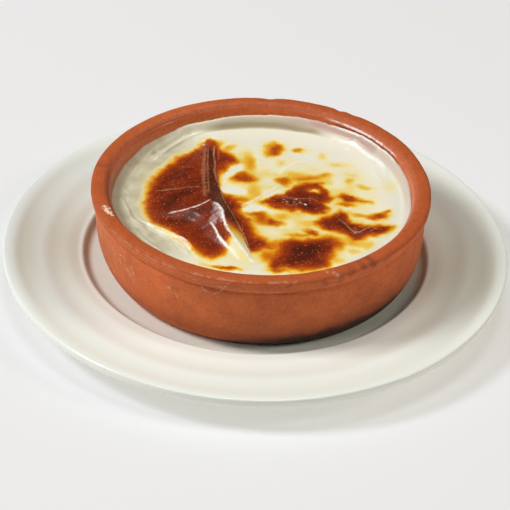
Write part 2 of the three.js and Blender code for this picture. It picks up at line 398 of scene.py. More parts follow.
def bowl_profile():
    """The thrown section, from the middle of the foot up the wall, over the rim and down to the floor."""
    foot = [(0, 0, 0), (57.6, 0, 2.2), (60.6, 3, 0)]
    wall = [(60.6, 3, 3), (63.3, 8.6, 8), (64.9, 16, 9)]
    groove = [(65.2, 28.2, 0.8), (64.7, 29.4, 0.5), (66.0, 30.7, 0.8)]
    rim = [(BOWL_RIM_RADIUS, 33, 1.4), (66.6, 34.9, 0.5), (65.7, 35.7, 0.7), (63.6, 35.9, 0.8)]
    covered = (58.6, 28, 0)  # on the inner wall, where the skin covers it
    start = softened(foot, 4)[:-1]
    close = softened([(59.2, 2, 0), *wall, *groove, *rim, *INNER_WALL[:3], covered], 0.5)
    deep = softened([covered, *INNER_WALL[3:], (40, BOWL_FLOOR, 0)], 1.6)
    below = start[start[:, 1] < close[0, 1]]
    return np.concatenate([below, close, deep[1:], [(20, BOWL_FLOOR), (0, BOWL_FLOOR)]])


def out_of_round(places):
    """Sways the thrown wall a little out of round, more towards the rim; the foot stays true."""
    angle = np.arctan2(places[..., 1], places[..., 0])
    rise = smooth((places[..., 2] - BOWL_FLOOR) / (BOWL_HEIGHT - BOWL_FLOOR))
    swing = np.sin(2 * angle + 0.6) + 0.5 * np.sin(3 * angle - 1.1)
    factor = 1 + SWAY * rise * swing / BOWL_RIM_RADIUS
    return places * np.stack([factor, factor, np.ones_like(factor)], axis=-1)


def polar_place(angle, radius, height):
    """A place given by its angle in degrees, its radius and its height."""
    turn = math.radians(angle)
    return np.array([radius * math.cos(turn), radius * math.sin(turn), height])


def outer_wall(radius, height):
    """Which places lie on the bowl's outer wall and foot."""
    return radius > 53 + 0.22 * height


def clay_bowl_rings(unevenness):
    """Rings of places over the bowl, with the potter's throwing lines, slow unevenness and small dents."""
    rings = turned_places(bowl_profile(), BOWL_SEGMENTS)
    places = rings.reshape(-1, 3)
    angle = np.arctan2(places[:, 1], places[:, 0])
    radius = np.hypot(places[:, 0], places[:, 1])
    height = places[:, 2]
    outward = ((radius > 61.5) & (height > 30)) | outer_wall(radius, height) | (height < 1)
    standing = smooth(height / 4) * (radius > 30)
    slow = unevenness * bumps(places, 21, 3) + 0.4 * unevenness * bumps(places, 6, 4)
    lines = THROWING_DEPTH * np.sin(2 * math.pi * height / THROWING_PITCH + angle)
    lines *= bumps(places * [0.4, 0.4, 1], 9, 5)
    grain = 0.05 * bumps(places, 1.3, 6)
    out = (slow + lines + grain) * standing * np.where(outward, 1, -0.5)
    top = smooth((height - BOWL_HEIGHT + 3) / 3)
    drop = top * (0.10 + 0.09 * bumps(places, 11, 7) + 0.05 * bumps(places, 3, 8))
    for turn, reach, level, width, depth in RIM_DENTS:
        away = np.linalg.norm((places - polar_place(turn, reach, level)) / width, axis=1)
        dent = depth * np.exp(-(away**2))
        out -= dent * (1 - 0.6 * top)
        drop += dent * top
    factor = 1 + np.divide(out, radius, out=np.zeros_like(out), where=radius > 1)
    foot_shift = FOOT_SHIFT * (1 - smooth(height / 20)) * (radius > 50 + 0.3 * height)
    moved = np.stack([places[:, 0] * factor + foot_shift, places[:, 1] * factor, height - drop], axis=-1)
    return out_of_round(moved).reshape(rings.shape)


# Pale scuffs and scratches on the clay, as lines of (angle, height) with their width.
WALL_SCUFFS = [
    ([(-145.4, 26.8), (-144.6, 25.4)], 0.6), ([(-145.3, 22.3), (-144.7, 20.8)], 0.5),
    ([(-138.6, 23.6), (-137.4, 21.8)], 0.7), ([(-141.2, 21.6), (-140, 19.6)], 0.6),
    ([(-139, 19.6), (-137.4, 17.4)], 0.55), ([(-136.6, 18.6), (-135.8, 17)], 0.5),
    ([(-151.8, 13.4), (-150, 12)], 0.45), ([(-148.6, 23.4), (-148, 22.4)], 0.45),
    ([(-142.6, 25.6), (-142.2, 24.6)], 0.4), ([(-121.2, 23.6), (-120.6, 22.2)], 0.45),
    ([(-118.4, 22.2), (-117.6, 20.8)], 0.4), ([(-112.2, 32.9), (-107.6, 32)], 0.25),
    ([(-108.8, 28.7), (-105.4, 26), (-102, 29), (-99.6, 34.1)], 0.25),
    ([(-103.6, 31.7), (-100.2, 31.5)], 0.22), ([(-110, 30), (-106, 33.5)], 0.2),
    ([(-94, 29.7), (-88, 30.0), (-81, 30.6)], 0.25), ([(-99.2, 29.4), (-94, 29.7)], 0.15),
    ([(3, 12.1), (1, 13.5)], 0.5), ([(-13.8, 26.3), (-11, 27.2)], 0.45), ([(-66, 35.2), (-63, 35.0)], 0.5),
]
# Dark smudges on the clay as (angle, height, width, strength).
SMUDGES = [
    (-49, 35, 1.6, 0.75), (-53, 35, 1.2, 0.55), (-58, 34.6, 1.9, 0.5), (-62, 33, 2.2, 0.4),
    (-67, 32, 1.5, 0.4), (-47, 20, 0.9, 0.8), (-80, 33.5, 0.8, 0.4), (-68, 33.5, 0.8, 0.4),
    (172, 35.6, 1.6, 0.45),
]
# Lines along the rim's outer edge and its groove, partly wear and partly painted highlight where the edge
# catches the light: angle from, angle to, height, width, strength.
WORN_AND_LIT_EDGES = [
    (-178, -150, 34.2, 0.28, 0.5), (-150, -116, 34.7, 0.3, 0.5), (-116, -96, 35.0, 0.3, 0.55),
    (-97, -88, 35.1, 0.3, 0.4), (-88, -76, 35.1, 0.3, 0.5), (-67, -63, 35.1, 0.35, 0.5),
    (-150, -60, 30.9, 0.2, 0.25),
]
# Bare cream flecks on top of the rim as short lines of (angle, radius) with their width.
RIM_FLECKS = [
    ([(-162.4, 64.6), (-160.8, 63.8), (-158.8, 63.3), (-156.6, 63)], 0.8),
    ([(-160, 64.9), (-158.2, 64.2), (-156.8, 63.7)], 0.6), ([(-161.2, 63), (-159.6, 62.4)], 0.6),
    ([(-156, 63.2), (-155, 62.8)], 0.6), ([(66.8, 60.6), (66.2, 60.9)], 0.4),
    ([(171.5, 64.0), (171.1, 64.1)], 0.3), ([(164.5, 61.6), (163.9, 61.7)], 0.3),
]


def worn_and_lit_clay(places, ragged):
    """Scuffs on the wall, flecks on the rim's top, and rim-edge lines of wear and painted highlight."""
    angle, radius, height = around_axis(places)
    around = np.radians(angle) * BOWL_RIM_RADIUS
    outer = radius > RIM_TURN
    worn_and_lit = np.zeros(len(places))
    for line, width in WALL_SCUFFS:
        scratch = [(math.radians(turn) * BOWL_RIM_RADIUS, level) for turn, level in line]
        away = near_line(around, height, scratch)[0]
        worn_and_lit = np.maximum(worn_and_lit, 0.75 * outer * smooth(0.95 - 0.6 * away / width + 1.1 * ragged))
    for start, end, level, width, strength in WORN_AND_LIT_EDGES:
        away = np.abs(height - level) / width
        shown = outer * strength * band(angle, start, 2, end, 2)
        worn_and_lit = np.maximum(worn_and_lit, shown * np.clip(1.2 - away + 1.1 * ragged, 0, 1))
    flaked = bumps(places, 0.75, 29)
    for line, width in RIM_FLECKS:
        fleck = [polar_place(turn, reach, 0)[:2] for turn, reach in line]
        away = near_line(places[:, 0], places[:, 1], fleck)[0]
        worn_and_lit = np.maximum(worn_and_lit, (height > 34.6) * np.clip(1.35 - away / width + 1.5 * flaked, 0, 1))
    return worn_and_lit


def clay_marks(places):
    """How strongly each mark of the bowl shows at each place.

    The bare clay outside has scuffs, painted light on the lit left wall, and a sooty foot with a smoky
    darkening above it at the front right, partly real and partly painted shade on the shaded side. The rim is
    fired to a deeper colour, and the lines along its edge are partly wear and partly painted highlight.
    Inside, the glaze ends at the bevel under the rim, which carries painted shade on the left; along the back
    right a painted shadow line runs just over the skin's edge and a painted glint lies on the bevel above it.
    """
    angle, radius, height = around_axis(places)
    turn = np.radians(angle)
    around = turn * BOWL_RIM_RADIUS
    outer = radius > RIM_TURN
    bevelled = radius < 61.4
    ragged = bumps(places, 0.9, 21)
    west = hump(angle % 360, 188, 24)

    # Soot and painted shade stand up the wall from the foot, highest at the shaded front right, and a smoky
    # darkening, partly painted shade, fades out above it.
    soot_and_shade_height = 6.7 * np.exp(-(((angle + 54) / 42) ** 4)) + 1.2 * hump(angle, -45, 14)
    above = height - soot_and_shade_height - 1.3 * bumps(places, 4, 22) - 0.6 * bumps(places, 1.5, 23)
    burnt_and_shaded = outer_wall(radius, height) * smooth(soot_and_shade_height / 2)
    smoke_and_shade = burnt_and_shaded * np.exp(-np.maximum(0, above) / 6)
    for middle, level, width, strength in SMUDGES:
        away = np.hypot(around - math.radians(middle) * BOWL_RIM_RADIUS, height - level) / width
        smoke_and_shade = np.maximum(smoke_and_shade, outer * strength * smooth(1.4 - away + 0.6 * ragged))

    # A painted shadow line follows the skin's edge just over it, where the edge stands off the wall, and a
    # painted glint lies on the bevel above that.
    over_skin = height - PUDDING_LEVEL - skin_climb_height(turn) - skin_edge_waver(turn)
    painted_gap_shade = band(angle, 22, 8, 66, 8) * bevelled * smooth(1.6 - np.abs(over_skin - 0.35) / 0.3)
    gleam = band(angle, 26, 6, 66, 6) * smooth(height - 31)
    gleam *= np.clip(1.3 - np.abs(height - 33.4) / 0.35 + 0.8 * ragged, 0, 1) * bevelled
    rim = smooth((height - 33.6) / 1.2) * smooth((radius - 59.5) / 0.8)
    return {
        # Painted light on the lit left wall.
        "painted_light_left": 0.24 * outer * smooth((31 - height) / 2) * west,
        # Scuffs and flecks, with painted highlights along the rim's edge.
        "wear_and_edge_light": worn_and_lit_clay(places, ragged),
        # Soot, and the smoky darkening above it, both partly painted shade on the shaded front right.
        "soot_and_shade": burnt_and_shaded * smooth(0.5 - above / 4.5),
        # The smoky mark also carries the painted shadow line over the skin's edge.
        "smoke_and_shade": np.maximum(smoke_and_shade, painted_gap_shade),
        "glaze": smooth((60.6 - radius) / 0.8) * (height > BOWL_FLOOR - 0.1),
        "rim": rim * (0.95 - 0.45 * hump(angle, 122, 26)),
        # Glazed bevel, darker partly in its own colour and partly by painted shade on the left.
        "bevel": smooth((height - 28) / 1.2) * smooth((62.6 - radius) / 1.6) * (0.45 + 0.4 * west),
        # Painted glint on the bevel at the back right.
        "gleam": gleam,
    }


# ---- Rice pudding ----
def wall_radius(height):
    """Radius of the bowl's inner face at a height."""
    radii, heights, _ = zip(*reversed(INNER_WALL))
    return np.interp(height, heights, radii)


def skin_climb_height(angle):
    """How far the skin's edge hangs on the wall above the level, at each angle."""
    front = np.maximum(0, -np.sin(angle)) ** 2
    back = hump(angle, BACK_CLIMB_TURN, BACK_CLIMB_SPREAD)
    turns, sags = zip(*EDGE_SAG)
    sag = np.interp(np.degrees(angle) % 360, turns, sags)
    return SKIN_CLIMB + FRONT_CLIMB * front + BACK_CLIMB * back - sag


def skin_edge_waver(angle):
    """How far the skin's edge wavers up and down from its even climb, at each angle."""
    x, y = SKIN_EDGE_RADIUS * np.cos(angle), SKIN_EDGE_RADIUS * np.sin(angle)
    return 0.35 * flat_bumps(x, y, 7, 41) + 0.2 * flat_bumps(x, y, 2.2, 42)


def disc_grid(count):
    """x and y of a square grid spread over a disc of radius 1."""
    u, v = np.meshgrid(np.linspace(-1, 1, count + 1), np.linspace(-1, 1, count + 1))
    wide = np.abs(u) > np.abs(v)
    reach = np.where(wide, u, v)
    other = np.where(wide, v, u)
    turn = math.pi / 4 * np.divide(other, reach, out=np.zeros_like(reach), where=reach != 0)
    turn = np.where(wide, turn, math.pi / 2 - turn)
    return reach * np.cos(turn), reach * np.sin(turn)


def eased(values, times):
    """Values on the grid, each averaged with its four neighbours that many times."""
    for _ in range(times):
        around = [np.roll(values, step, axis) for step in (1, -1) for axis in (0, 1)]
        values = (values + sum(around)) / 5
    return values


def fold_height(x, y):
    """Height of the torn-up fold over the skin, drawn between its ridges and the outline of its foot."""
    pull = 1.2
    foot_width, ridge_width = 0.05, 0.35
    left_foot = curved(FOLD_RUNOUT)
    contact = near_line(x, y, FOLD_CONTACT)[0]
    runout = near_line(x, y, left_foot)[0]
    weight = (contact + foot_width) ** -pull + (runout + foot_width) ** -pull
    total = np.zeros(x.shape)
    for line in FOLD_RIDGES:
        away, _, height = near_line(x, y, curved(line))
        share = (away + ridge_width) ** -pull
        weight += share
        total += share * height
    within = inside(x, y, [*FOLD_CONTACT, *left_foot[1:]])
    return eased(total / weight * within * smooth(runout / 4), 5)


def ridge(x, y, line, height, width):
    """A low ridge along a line, or a groove where its height is below 0, that fades at both ends."""
    away, share, _ = near_line(x, y, curved(line))
    return height * faded_ends(share, 0.12) * hump(away, 0, width)


def skin_swell(x, y):
    """Slow rise and fall of the skin, which dies away at the wall."""
    inward = 1 - np.hypot(x, y) / BOWL_INSIDE_RADIUS
    wave = np.sin(0.11 * x + 0.9) * np.cos(0.09 * y - 0.4) + 0.4 * np.sin(0.21 * y + 0.13 * x)
    return SKIN_SWELL * wave * np.clip(4 * inward, 0, 1)


def skin_height(x, y):
    """Height of the baked skin over the level, without its fine relief."""
    radius = np.hypot(x, y)
    angle = np.arctan2(y, x)
    hang = skin_climb_height(angle)
    inward = wall_radius(PUDDING_LEVEL + hang) - radius
    climb = hang * np.exp(-np.maximum(0, inward - SKIN_EDGE_THICKNESS) / CLIMB_WIDTH)
    return skin_swell(x, y) + climb + fold_height(x, y)


# Creases that are drawn twice: as relief, and as a paler line where light catches them, a painted highlight
# over skin that is also stretched paler.
RIGHT_WELT = [
    (30, -9.5), (31.9, -11.5), (33.9, -14.1), (35.8, -17.4), (38.6, -19.3), (42.1, -16.2), (45.2, -14.6),
]
UPPER_WELT = [(6.5, 4.6), (9.7, 3.1), (12.9, 2.6), (16.1, 2.9), (20.5, 3.2), (23.2, 1.3)]
LOWER_WELT = [(8.6, 1.6), (11.4, -2.5), (15.3, -0.8), (17.7, -1.3)]
MIDDLE_CREASE = [(-8.3, -4.1), (-2.5, 0.7), (3.3, 7.2), (8.3, 13)]
BACK_CREASE = [(6.5, 20.3), (9.2, 24.9), (13.9, 29.7), (17.7, 32.6)]
# Wrinkles, creases and lips of the skin, as (line, height, width): a height below 0 makes a groove.
SKIN_LINES = [
    ([(-41, 4.8), (-34, 4.3), (-26, 3.1)], 0.25, 0.5),
    ([(-23.2, 36.5), (-22.6, 27.4), (-23, 21.4), (-22, 11.3), (-21.7, 3.1), (-21, -6.9)], 0.35, 0.5),
    ([(-20.8, 38.9), (-20, 35), (-20.3, 29.6), (-19.3, 27.1), (-20, 22.1), (-18.8, 17.8), (-17, 9.6)],
      0.35, 0.45),
    ([(-46, -16.6), (-38, -22), (-30, -28.2), (-25, -36.4)], 0.5, 0.7),
    ([(-33, -31), (-28, -38)], 0.35, 0.8), ([(-36, -29), (-31, -37)], 0.3, 0.8),
    ([(-31, -27.5), (-22, -43)], 0.25, 0.9), ([(-44, 33), (-38, 41), (-30, 48)], 0.45, 0.9),
    ([(-41, 31), (-36, 38), (-29, 44.5)], 0.35, 0.7), ([(-47, 28), (-42, 38), (-33, 47)], 0.25, 0.8),
    ([(-46, 22), (-42, 30)], 0.12, 0.8), ([(-52, 12), (-50, 20), (-46, 29)], 0.14, 1.0),
    ([(-54, 0), (-53, 10), (-51, 18)], 0.14, 0.9), ([(-52, -8), (-50, -16), (-44, -24)], 0.3, 0.9),
    ([(-50, -22), (-44, -31), (-36, -39)], 0.3, 1.0), (RIGHT_WELT, 0.6, 0.5),
    ([(42.9, -18.3), (46, -14.9)], 0.3, 0.4), ([(31, -9), (34, -14), (37, -20.5), (41, -19)], -0.5, 0.9),
    ([(18, -17.5), (20.5, -19), (23, -20)], 0.25, 0.7), (UPPER_WELT, 0.3, 0.5), (LOWER_WELT, 0.3, 0.5),
    ([(7.5, 3), (12, 0.8), (18, 0.8)], -0.3, 0.6), (MIDDLE_CREASE, 0.45, 0.9),
    ([(12, 14.4), (17, 16.6), (24.5, 17.6)], 0.3, 0.5), (BACK_CREASE, 0.4, 0.9),
    ([(9.5, 19.5), (13, 24.5), (18, 28.5)], 0.3, 0.8), ([(-2, 25), (6, 33)], 0.15, 1.4),
    ([(0, -19), (8, -20.5), (18, -19)], 0.2, 1.6), ([(10, -23), (16, -24.4), (22, -21.5)], 0.3, 0.8),
    ([(50, 22), (48, 28), (46, 33)], 0.35, 0.6), ([(48, 18), (44, 27)], 0.2, 0.8),
]
# Wrinkles of the thin skin along the left margin and at the back left.
MARGIN_LINES = [
    ([(-46.1, -17.5), (-43.5, -19.2), (-39, -23.3), (-34.6, -26.1), (-30.2, -28.9), (-26.4, -33.7),
      (-23, -37.8)], 0.7, 0.6),
    ([(-44.9, -20.6), (-41.9, -23.5), (-38.9, -25.8), (-35.9, -27.5)], -0.5, 0.6),
    ([(-32.2, -31), (-30, -32.7), (-28, -36.3), (-26.8, -39.9)], 0.5, 0.5),
    ([(-55.5, -0.7), (-52.9, -7), (-50.2, -15.2), (-47.5, -18.2), (-44.9, -20.6)], 0.5, 0.6),
    ([(-44.5, 27), (-41.3, 31.4), (-36, 38), (-32.2, 43), (-27.3, 47.6), (-22.9, 49.6)], 0.8, 0.6),
    ([(-45.5, 29.5), (-41.9, 34.7), (-37.2, 40.7), (-33.3, 45.2), (-28.4, 48.8)], -0.7, 0.6),
    ([(-51.7, 26.7), (-48.3, 33.9)], 0.2, 0.6), ([(-48.7, 24.4), (-46.9, 29.5), (-43.2, 35.3)], 0.2, 0.7),
    ([(-55.8, 6.8), (-51.9, -0.1), (-52.5, -7.3)], 0.16, 0.6),
    ([(-56, 7.2), (-54.7, 4), (-55.3, 1.3)], 0.12, 0.5),
    ([(-52, 0.9), (-51, 3.6), (-50.6, 8.3)], 0.14, 0.6), ([(-53, 12), (-51, 18), (-50, 23)], 0.16, 0.6),
    ([(-49, 12), (-48.4, 18), (-46, 24)], 0.12, 0.6), ([(-50, -21), (-45, -29), (-38, -37)], 0.4, 0.6),
]
# The lip where the skin has drawn back from the film of milk on the wall.
SKIN_LIP = [
    (27, 48.6), (30.1, 46.9), (33, 45), (36.3, 43.6), (39, 40.3), (42, 36.4), (45.6, 32.3), (48.6, 27.8),
    (50.5, 23),
]
# Where a grey sheen, a painted highlight, lies on the fold's left face over the browning.
SHEEN_PATCH = [
    (-20.4, -21.5), (-19.5, -17.6), (-18.6, -14.1), (-18.5, -9.6), (-16.9, -9.8), (-14.8, -14),
    (-14.3, -18.7), (-15.3, -20.7), (-16.4, -19.2), (-17.3, -21.9), (-18.3, -23),
]
# Groove at the back between the flat skin and the strip that hangs on the wall.
BACK_GROOVE = [(-36, 42.5), (-30, 47), (-21, 51.5), (-10, 54), (0, 55), (10, 54.6), (20, 52)]

# Browned patches as (outline, tone, fade inside, halo outside); tone runs from 0, cream, to 1, darkest.
BROWNED_PATCHES = [
    ([(-21.9, 46), (-24.3, 42), (-25.6, 38.6), (-28, 35), (-31.6, 33), (-33.7, 31), (-35.6, 26.6),
      (-38.7, 21.5), (-42.4, 16.6), (-44.2, 12.5), (-45.5, 7.4), (-45.3, -0.3), (-44.4, -7.2),
      (-43.8, -13.5), (-42.2, -16.6), (-38.7, -19.6), (-35.4, -22.4), (-32.1, -26.4), (-29, -30),
      (-26, -33.2), (-23.6, -36.2), (-21.4, -39.8), (-18.5, -41.6), (-14.5, -38.1), (-12.8, -34),
      (-12.6, -30.5), (-11, -27), (-9.6, -22), (-8.5, -18), (-12.5, -6), (-14.5, 1), (-17, 10), (-17.6, 17),
      (-15.9, 20.9), (-13.6, 25.4), (-9.4, 29.2), (-11.2, 31.9), (-13.9, 35.4), (-17.2, 37.2), (-19, 42)],
      0.83, 1.9, 3.2),
    ([(-17, 5), (-11, 4), (-9, 0), (-9, -7), (-6.5, -11), (-4, -14), (-3, -20), (-1.6, -24), (1.4, -26.6),
      (3, -30), (0.4, -33.4), (-3.5, -35.4), (-8.5, -26), (-12, -18), (-16, -6)], 0.9, 2.2, 3.6),
    ([(0.8, -0.6), (4.9, 2.6), (8.6, 4.5), (12.8, 5.5), (17, 6.2), (20.8, 3.8), (24.1, 1.4), (26, -2.9),
      (24.7, -6.2), (19.5, -6.9), (16.2, -6.3), (11.6, -6.1), (7.9, -4.4), (4.1, -3.4)], 0.92, 1.9, 3),
    ([(8, 4.6), (9.6, 7.6), (12.8, 11.3), (15.2, 14.4), (19.2, 15.6), (24.4, 16.4), (23.8, 13.6),
      (25.6, 11.6), (27.4, 8.4), (27.6, 4.4), (26.2, 1.6), (22, 1), (15, 2)], 0.84, 1.8, 2.6),
    ([(30.6, 6.4), (32.8, 8.5), (35.4, 7.5), (39.1, 4.9), (43.9, 3.7), (38.6, 3), (34.4, 2.6), (31.6, 3.6)],
      0.72, 1.6, 3),
    ([(21.4, -13), (24.1, -9.3), (28.4, -7.5), (30.8, -4.5), (32.3, -5.8), (35.1, -9.8), (37.4, -12.2),
      (40.9, -13.8), (44.5, -13.6), (48, -13), (50.7, -14.9), (49.1, -17.8), (45.2, -20.1), (42.1, -21.3),
      (38.9, -23.6), (36.6, -24.5), (35, -21.4), (31.9, -19.5), (28.4, -18.7), (24.9, -16.9)],
      0.93, 1.9, 3.2),
    ([(7.8, -28.1), (12.8, -25.2), (17.8, -25.4), (23.8, -23.6), (28.6, -23.4), (30.6, -27), (28.8, -32),
      (27.4, -36.2), (26.6, -40), (25, -43), (20, -44.4), (15, -45.4), (9, -45), (6.4, -47), (5, -44),
      (5.4, -40.4), (7, -35.4)], 0.93, 2.6, 4),
    ([(0.8, 40.4), (2.3, 42.8), (5.1, 43.8), (7.6, 42.4), (8.2, 39.4), (6.5, 36.8), (5, 34.4), (2.4, 33.6),
      (1.4, 36.2)], 0.62, 2, 2.8),
    ([(-12, 16), (-10.5, 20), (-6.5, 21.5), (-3.5, 18.6), (-3, 15), (-6, 13), (-10, 13)], 0.7, 2.4, 3.6),
]
# Small browned spots as (x, y, half width, half depth, turn in degrees, tone).
BROWNED_SPOTS = [
    (-8.5, 1.5, 6, 3, 0, 0.45), (0, 21, 4, 6, -20, 0.13), (-3, 7, 3, 9, 10, 0.28),
    (-5.6, 28, 3, 8, 12, 0.36), (14.4, 39, 3, 1.6, -10, 0.4), (7, 28.6, 3, 2.6, 0, 0.19),
    (9, 15.2, 3, 3.4, 40, 0.5), (18, 18, 8, 3.2, 14, 0.43), (25.4, 20.4, 3.4, 2.4, 10, 0.36),
    (14, 19, 8, 4, 10, 0.28), (27, 5.5, 3.2, 2, 0, 0.5), (33.5, 1.2, 3.6, 1.8, 0, 0.46),
    (41, 13.4, 3.4, 2.6, 0, 0.27), (35.6, 17, 2, 3, 0, 0.28), (36, 22, 3, 3, 0, 0.16),
    (30, 29, 5, 2.4, 10, 0.2), (23.5, 34, 2.4, 3, 0, 0.18), (27, 17, 3, 4, 0, 0.2), (50, 14, 3, 4, 0, 0.1),
    (-1, -9, 6, 2.4, -6, 0.5), (5, -13.5, 4, 3.2, -10, 0.64), (0, -12, 4, 4.4, 20, 0.5),
    (9, -9.5, 4, 2.5, 0, 0.3), (39.5, -6, 5, 1.3, 0, 0.36), (46.4, -7.2, 3.6, 2.4, 24, 0.66),
    (49.6, -4, 2.8, 1.5, 42, 0.5), (18, -14, 5, 3, 0, 0.24), (30.5, -28, 3.6, 5.4, 0, 0.52),
    (4.5, -37, 5, 5, 0, 0.48), (4, -30, 5.5, 3.4, 0, 0.46), (20, -19.6, 4, 2, -30, 0.6),
    (16, -21.6, 7, 1.8, 6, 0.4), (36, -26, 5, 3, -20, 0.3), (41, -27, 4, 3, 20, 0.24),
    (30, -38, 4, 3, 0, 0.24), (37, -32, 3, 2.4, 0, 0.22), (43.6, -7, 3, 2, 0, 0.5),
    (45, -20.6, 3.4, 1.8, 20, 0.42), (-11, -4, 4, 4, 0, 0.86), (-12, -47, 5.5, 1.3, -4, 0.6),
    (-20, -46, 4, 1.6, -20, 0.2), (8, -47, 5, 1.6, 0, 0.5), (33, -5, 4, 2.4, 0, 0.26),
    (-14, 38, 2.4, 4, -40, 0.3), (-46.4, 0, 2.2, 14, 0, 0.14),
]
# Cream gaps left inside the browned patches, in the same form with how much tone they take away.
CREAM_GAPS = [
    (21, 10, 2.4, 1.5, -10, 0.72), (-21.5, 46.4, 2.2, 2.2, 0, 0.5), (-11.6, 22.2, 2, 4.6, -34, 0.55),
    (-11.4, 7.8, 4.6, 1.4, -10, 0.5), (-4, -5.2, 4.4, 1.4, -10, 0.5), (7, 2, 1, 0.6, 0, 0.1),
    (4.6, 4.6, 4, 0.9, 40, 0.3),
]
# Crests with painted white highlights, where the stretched skin is also paler, as (line, half width,
# strength).
WHITE_LINES = [
    ([(-36.4, -12.2), (-33.4, -12), (-30, -11.8), (-27.4, -11.3), (-25, -11), (-22, -9.6), (-19.3, -7.5)],
      0.3, 0.8),
    ([(-18.6, -9), (-16.6, -11.2), (-15, -14.4), (-14.5, -18.5), (-13.7, -22), (-12.2, -25.8),
      (-10.6, -28.4)], 0.62, 1.0),
    ([(-12, -26), (-10.2, -29), (-8.4, -32), (-6, -35.8), (-4, -38.8), (-2, -42.6)], 0.7, 0.95),
    ([(-19.6, -19.6), (-18.4, -22.4), (-17, -25.6), (-16, -28.6), (-13.6, -32.2), (-11.6, -34.6),
      (-9.4, -37.6), (-6.9, -42)], 0.45, 1.0),
    ([(-47.5, -15.4), (-46.1, -17.2), (-43.3, -19.4), (-40.4, -21.7), (-37.1, -23.9), (-33.2, -26.2),
      (-29.9, -29.6), (-27, -33)], 0.5, 0.75),
    ([(-36, -24.6), (-31.6, -28.6), (-28.4, -32.8), (-26, -37)], 0.5, 0.6),
    ([(-44.6, 25.8), (-42.6, 28.6), (-39.6, 33.5), (-36.9, 37.8), (-34.1, 41.4), (-31.4, 44.4),
      (-28.5, 46.7), (-25, 49)], 0.5, 0.55),
    ([(-24.9, 43.4), (-24.2, 42.6)], 0.7, 0.9), ([(-24.9, 40.2), (-24.5, 39.4)], 0.5, 0.7),
    ([(-21.2, 46.6), (-20.4, 45.4)], 0.5, 0.7),
    ([(30.1, 46.7), (33, 44.6), (36.3, 43.2), (39, 39.9), (42, 36), (45.6, 31.9), (48.4, 27.6),
      (50.1, 25.3)], 0.62, 1.0),
    ([(33, 41), (34.4, 40.2)], 0.8, 0.8), ([(27.6, 47.6), (28.4, 47.2)], 0.5, 0.8),
    ([(8.7, 1.9), (9.3, 1.3)], 0.3, 0.8), ([(9.9, 0.2), (10.6, -0.4)], 0.28, 0.7),
    ([(12.7, 0.7), (13.4, 0.2)], 0.28, 0.8), ([(13.5, 2.2), (14.1, 1.8)], 0.22, 0.6),
    ([(15, 0.9), (15.8, 0.4)], 0.28, 0.75), ([(17, -0.7), (17.9, -1.2)], 0.34, 0.9),
    (MIDDLE_CREASE, 0.9, 0.35), (BACK_CREASE, 0.9, 0.3),
]
# Lower crests and the lit side of the back ridge, with painted tan highlights where the browning is also
# thinner, in the same form.
TAN_LINES = [
    ([(-42.5, 4.1), (-38, 4.2), (-34, 3.9), (-30, 4.1), (-25.9, 4.7), (-23.7, 3.6)], 0.32, 0.5),
    ([(-23.4, 38), (-23.7, 30), (-23.8, 22), (-23.4, 14), (-22.9, 6), (-22.4, -1), (-21.6, -6)], 0.8, 0.32),
    ([(-22.6, 38), (-22.4, 29.8), (-22.2, 21.2), (-21.6, 12.1), (-21, 4.4), (-20.8, -3.3)], 0.26, 0.6),
    ([(-20.3, 40), (-20.1, 36.3), (-20.1, 31.5), (-19.2, 25), (-19.4, 21), (-18.6, 15.8), (-18.2, 11.9)],
      0.34, 0.8),
    ([(-18.6, 37.5), (-18.3, 33), (-18.1, 28.8)], 0.25, 0.4),
    ([(-18.8, 16), (-17, 10), (-14.9, 0.9), (-12.4, -7), (-11, -10.2), (-8.4, -18), (-7.2, -21.1),
      (-4.1, -31.3), (-2.6, -37.2)], 0.24, 0.85),
    (RIGHT_WELT, 0.26, 0.8), ([(33.9, -11.3), (35.9, -12.5)], 0.2, 0.6),
    ([(42.9, -18.3), (46, -14.9)], 0.2, 0.6), ([(36.6, -15.6), (38.4, -18)], 0.3, 0.4),
    (UPPER_WELT, 0.2, 0.5), (LOWER_WELT, 0.2, 0.35),
]
# Bands across the browning that are lighter or darker than it, as (line, half width, change of tone).
TONE_LINES = [
    ([(-19.6, 40), (-19.8, 30), (-19.4, 20), (-18.4, 10), (-17, 1), (-15.6, -6)], 0.9, 0.1),
    ([(-33, 1), (-29, 0), (-26, -1)], 2.6, 0.14),
    ([(-37, -15.6), (-31, -15.6), (-25, -14), (-20, -12)], 1.6, 0.13),
    ([(-34, 20), (-30, 14), (-27, 6)], 4, 0.06), ([(-41, -2), (-37, -6), (-31, -4)], 5, 0.09),
    ([(12, -30), (20, -31), (23, -37)], 5, 0.06), ([(15, 14), (21, 14)], 2.4, -0.1),
]


# How the tone of a browned patch rises from beyond its halo, over its outline, to its middle.
TONE_STEPS = [0, 0.06, 0.16, 0.33, 0.5, 0.68, 0.84, 1]
# Tone down the fold's torn right face, as (y, tone) from its front tip to its back tip.
TORN_TONE = [(-34, 0.05), (-29, 0.13), (-25, 0.3), (-21, 0.6), (-17, 0.95), (34, 0.94), (44, 0.45)]


def spot_share(x, y, spot):
    """How strongly an oval spot shows at each place: 1 in its middle, fading softly past its half width."""
    across, along, half_width, half_depth, turn, _ = spot
    c, s = math.cos(math.radians(turn)), math.sin(math.radians(turn))
    u = ((x - across) * c + (y - along) * s) / half_width
    v = ((y - along) * c - (x - across) * s) / half_depth
    return np.exp(-0.9 * (u**2 + v**2) ** 1.1)


def torn_face(x, y):
    """Which places lie on the fold's right face, where the skin has torn."""
    return inside(x, y, [place[:2] for place in (*BACK_RIDGE, *FRONT_RIDGE[1:], *FOLD_CONTACT[-2::-1])])


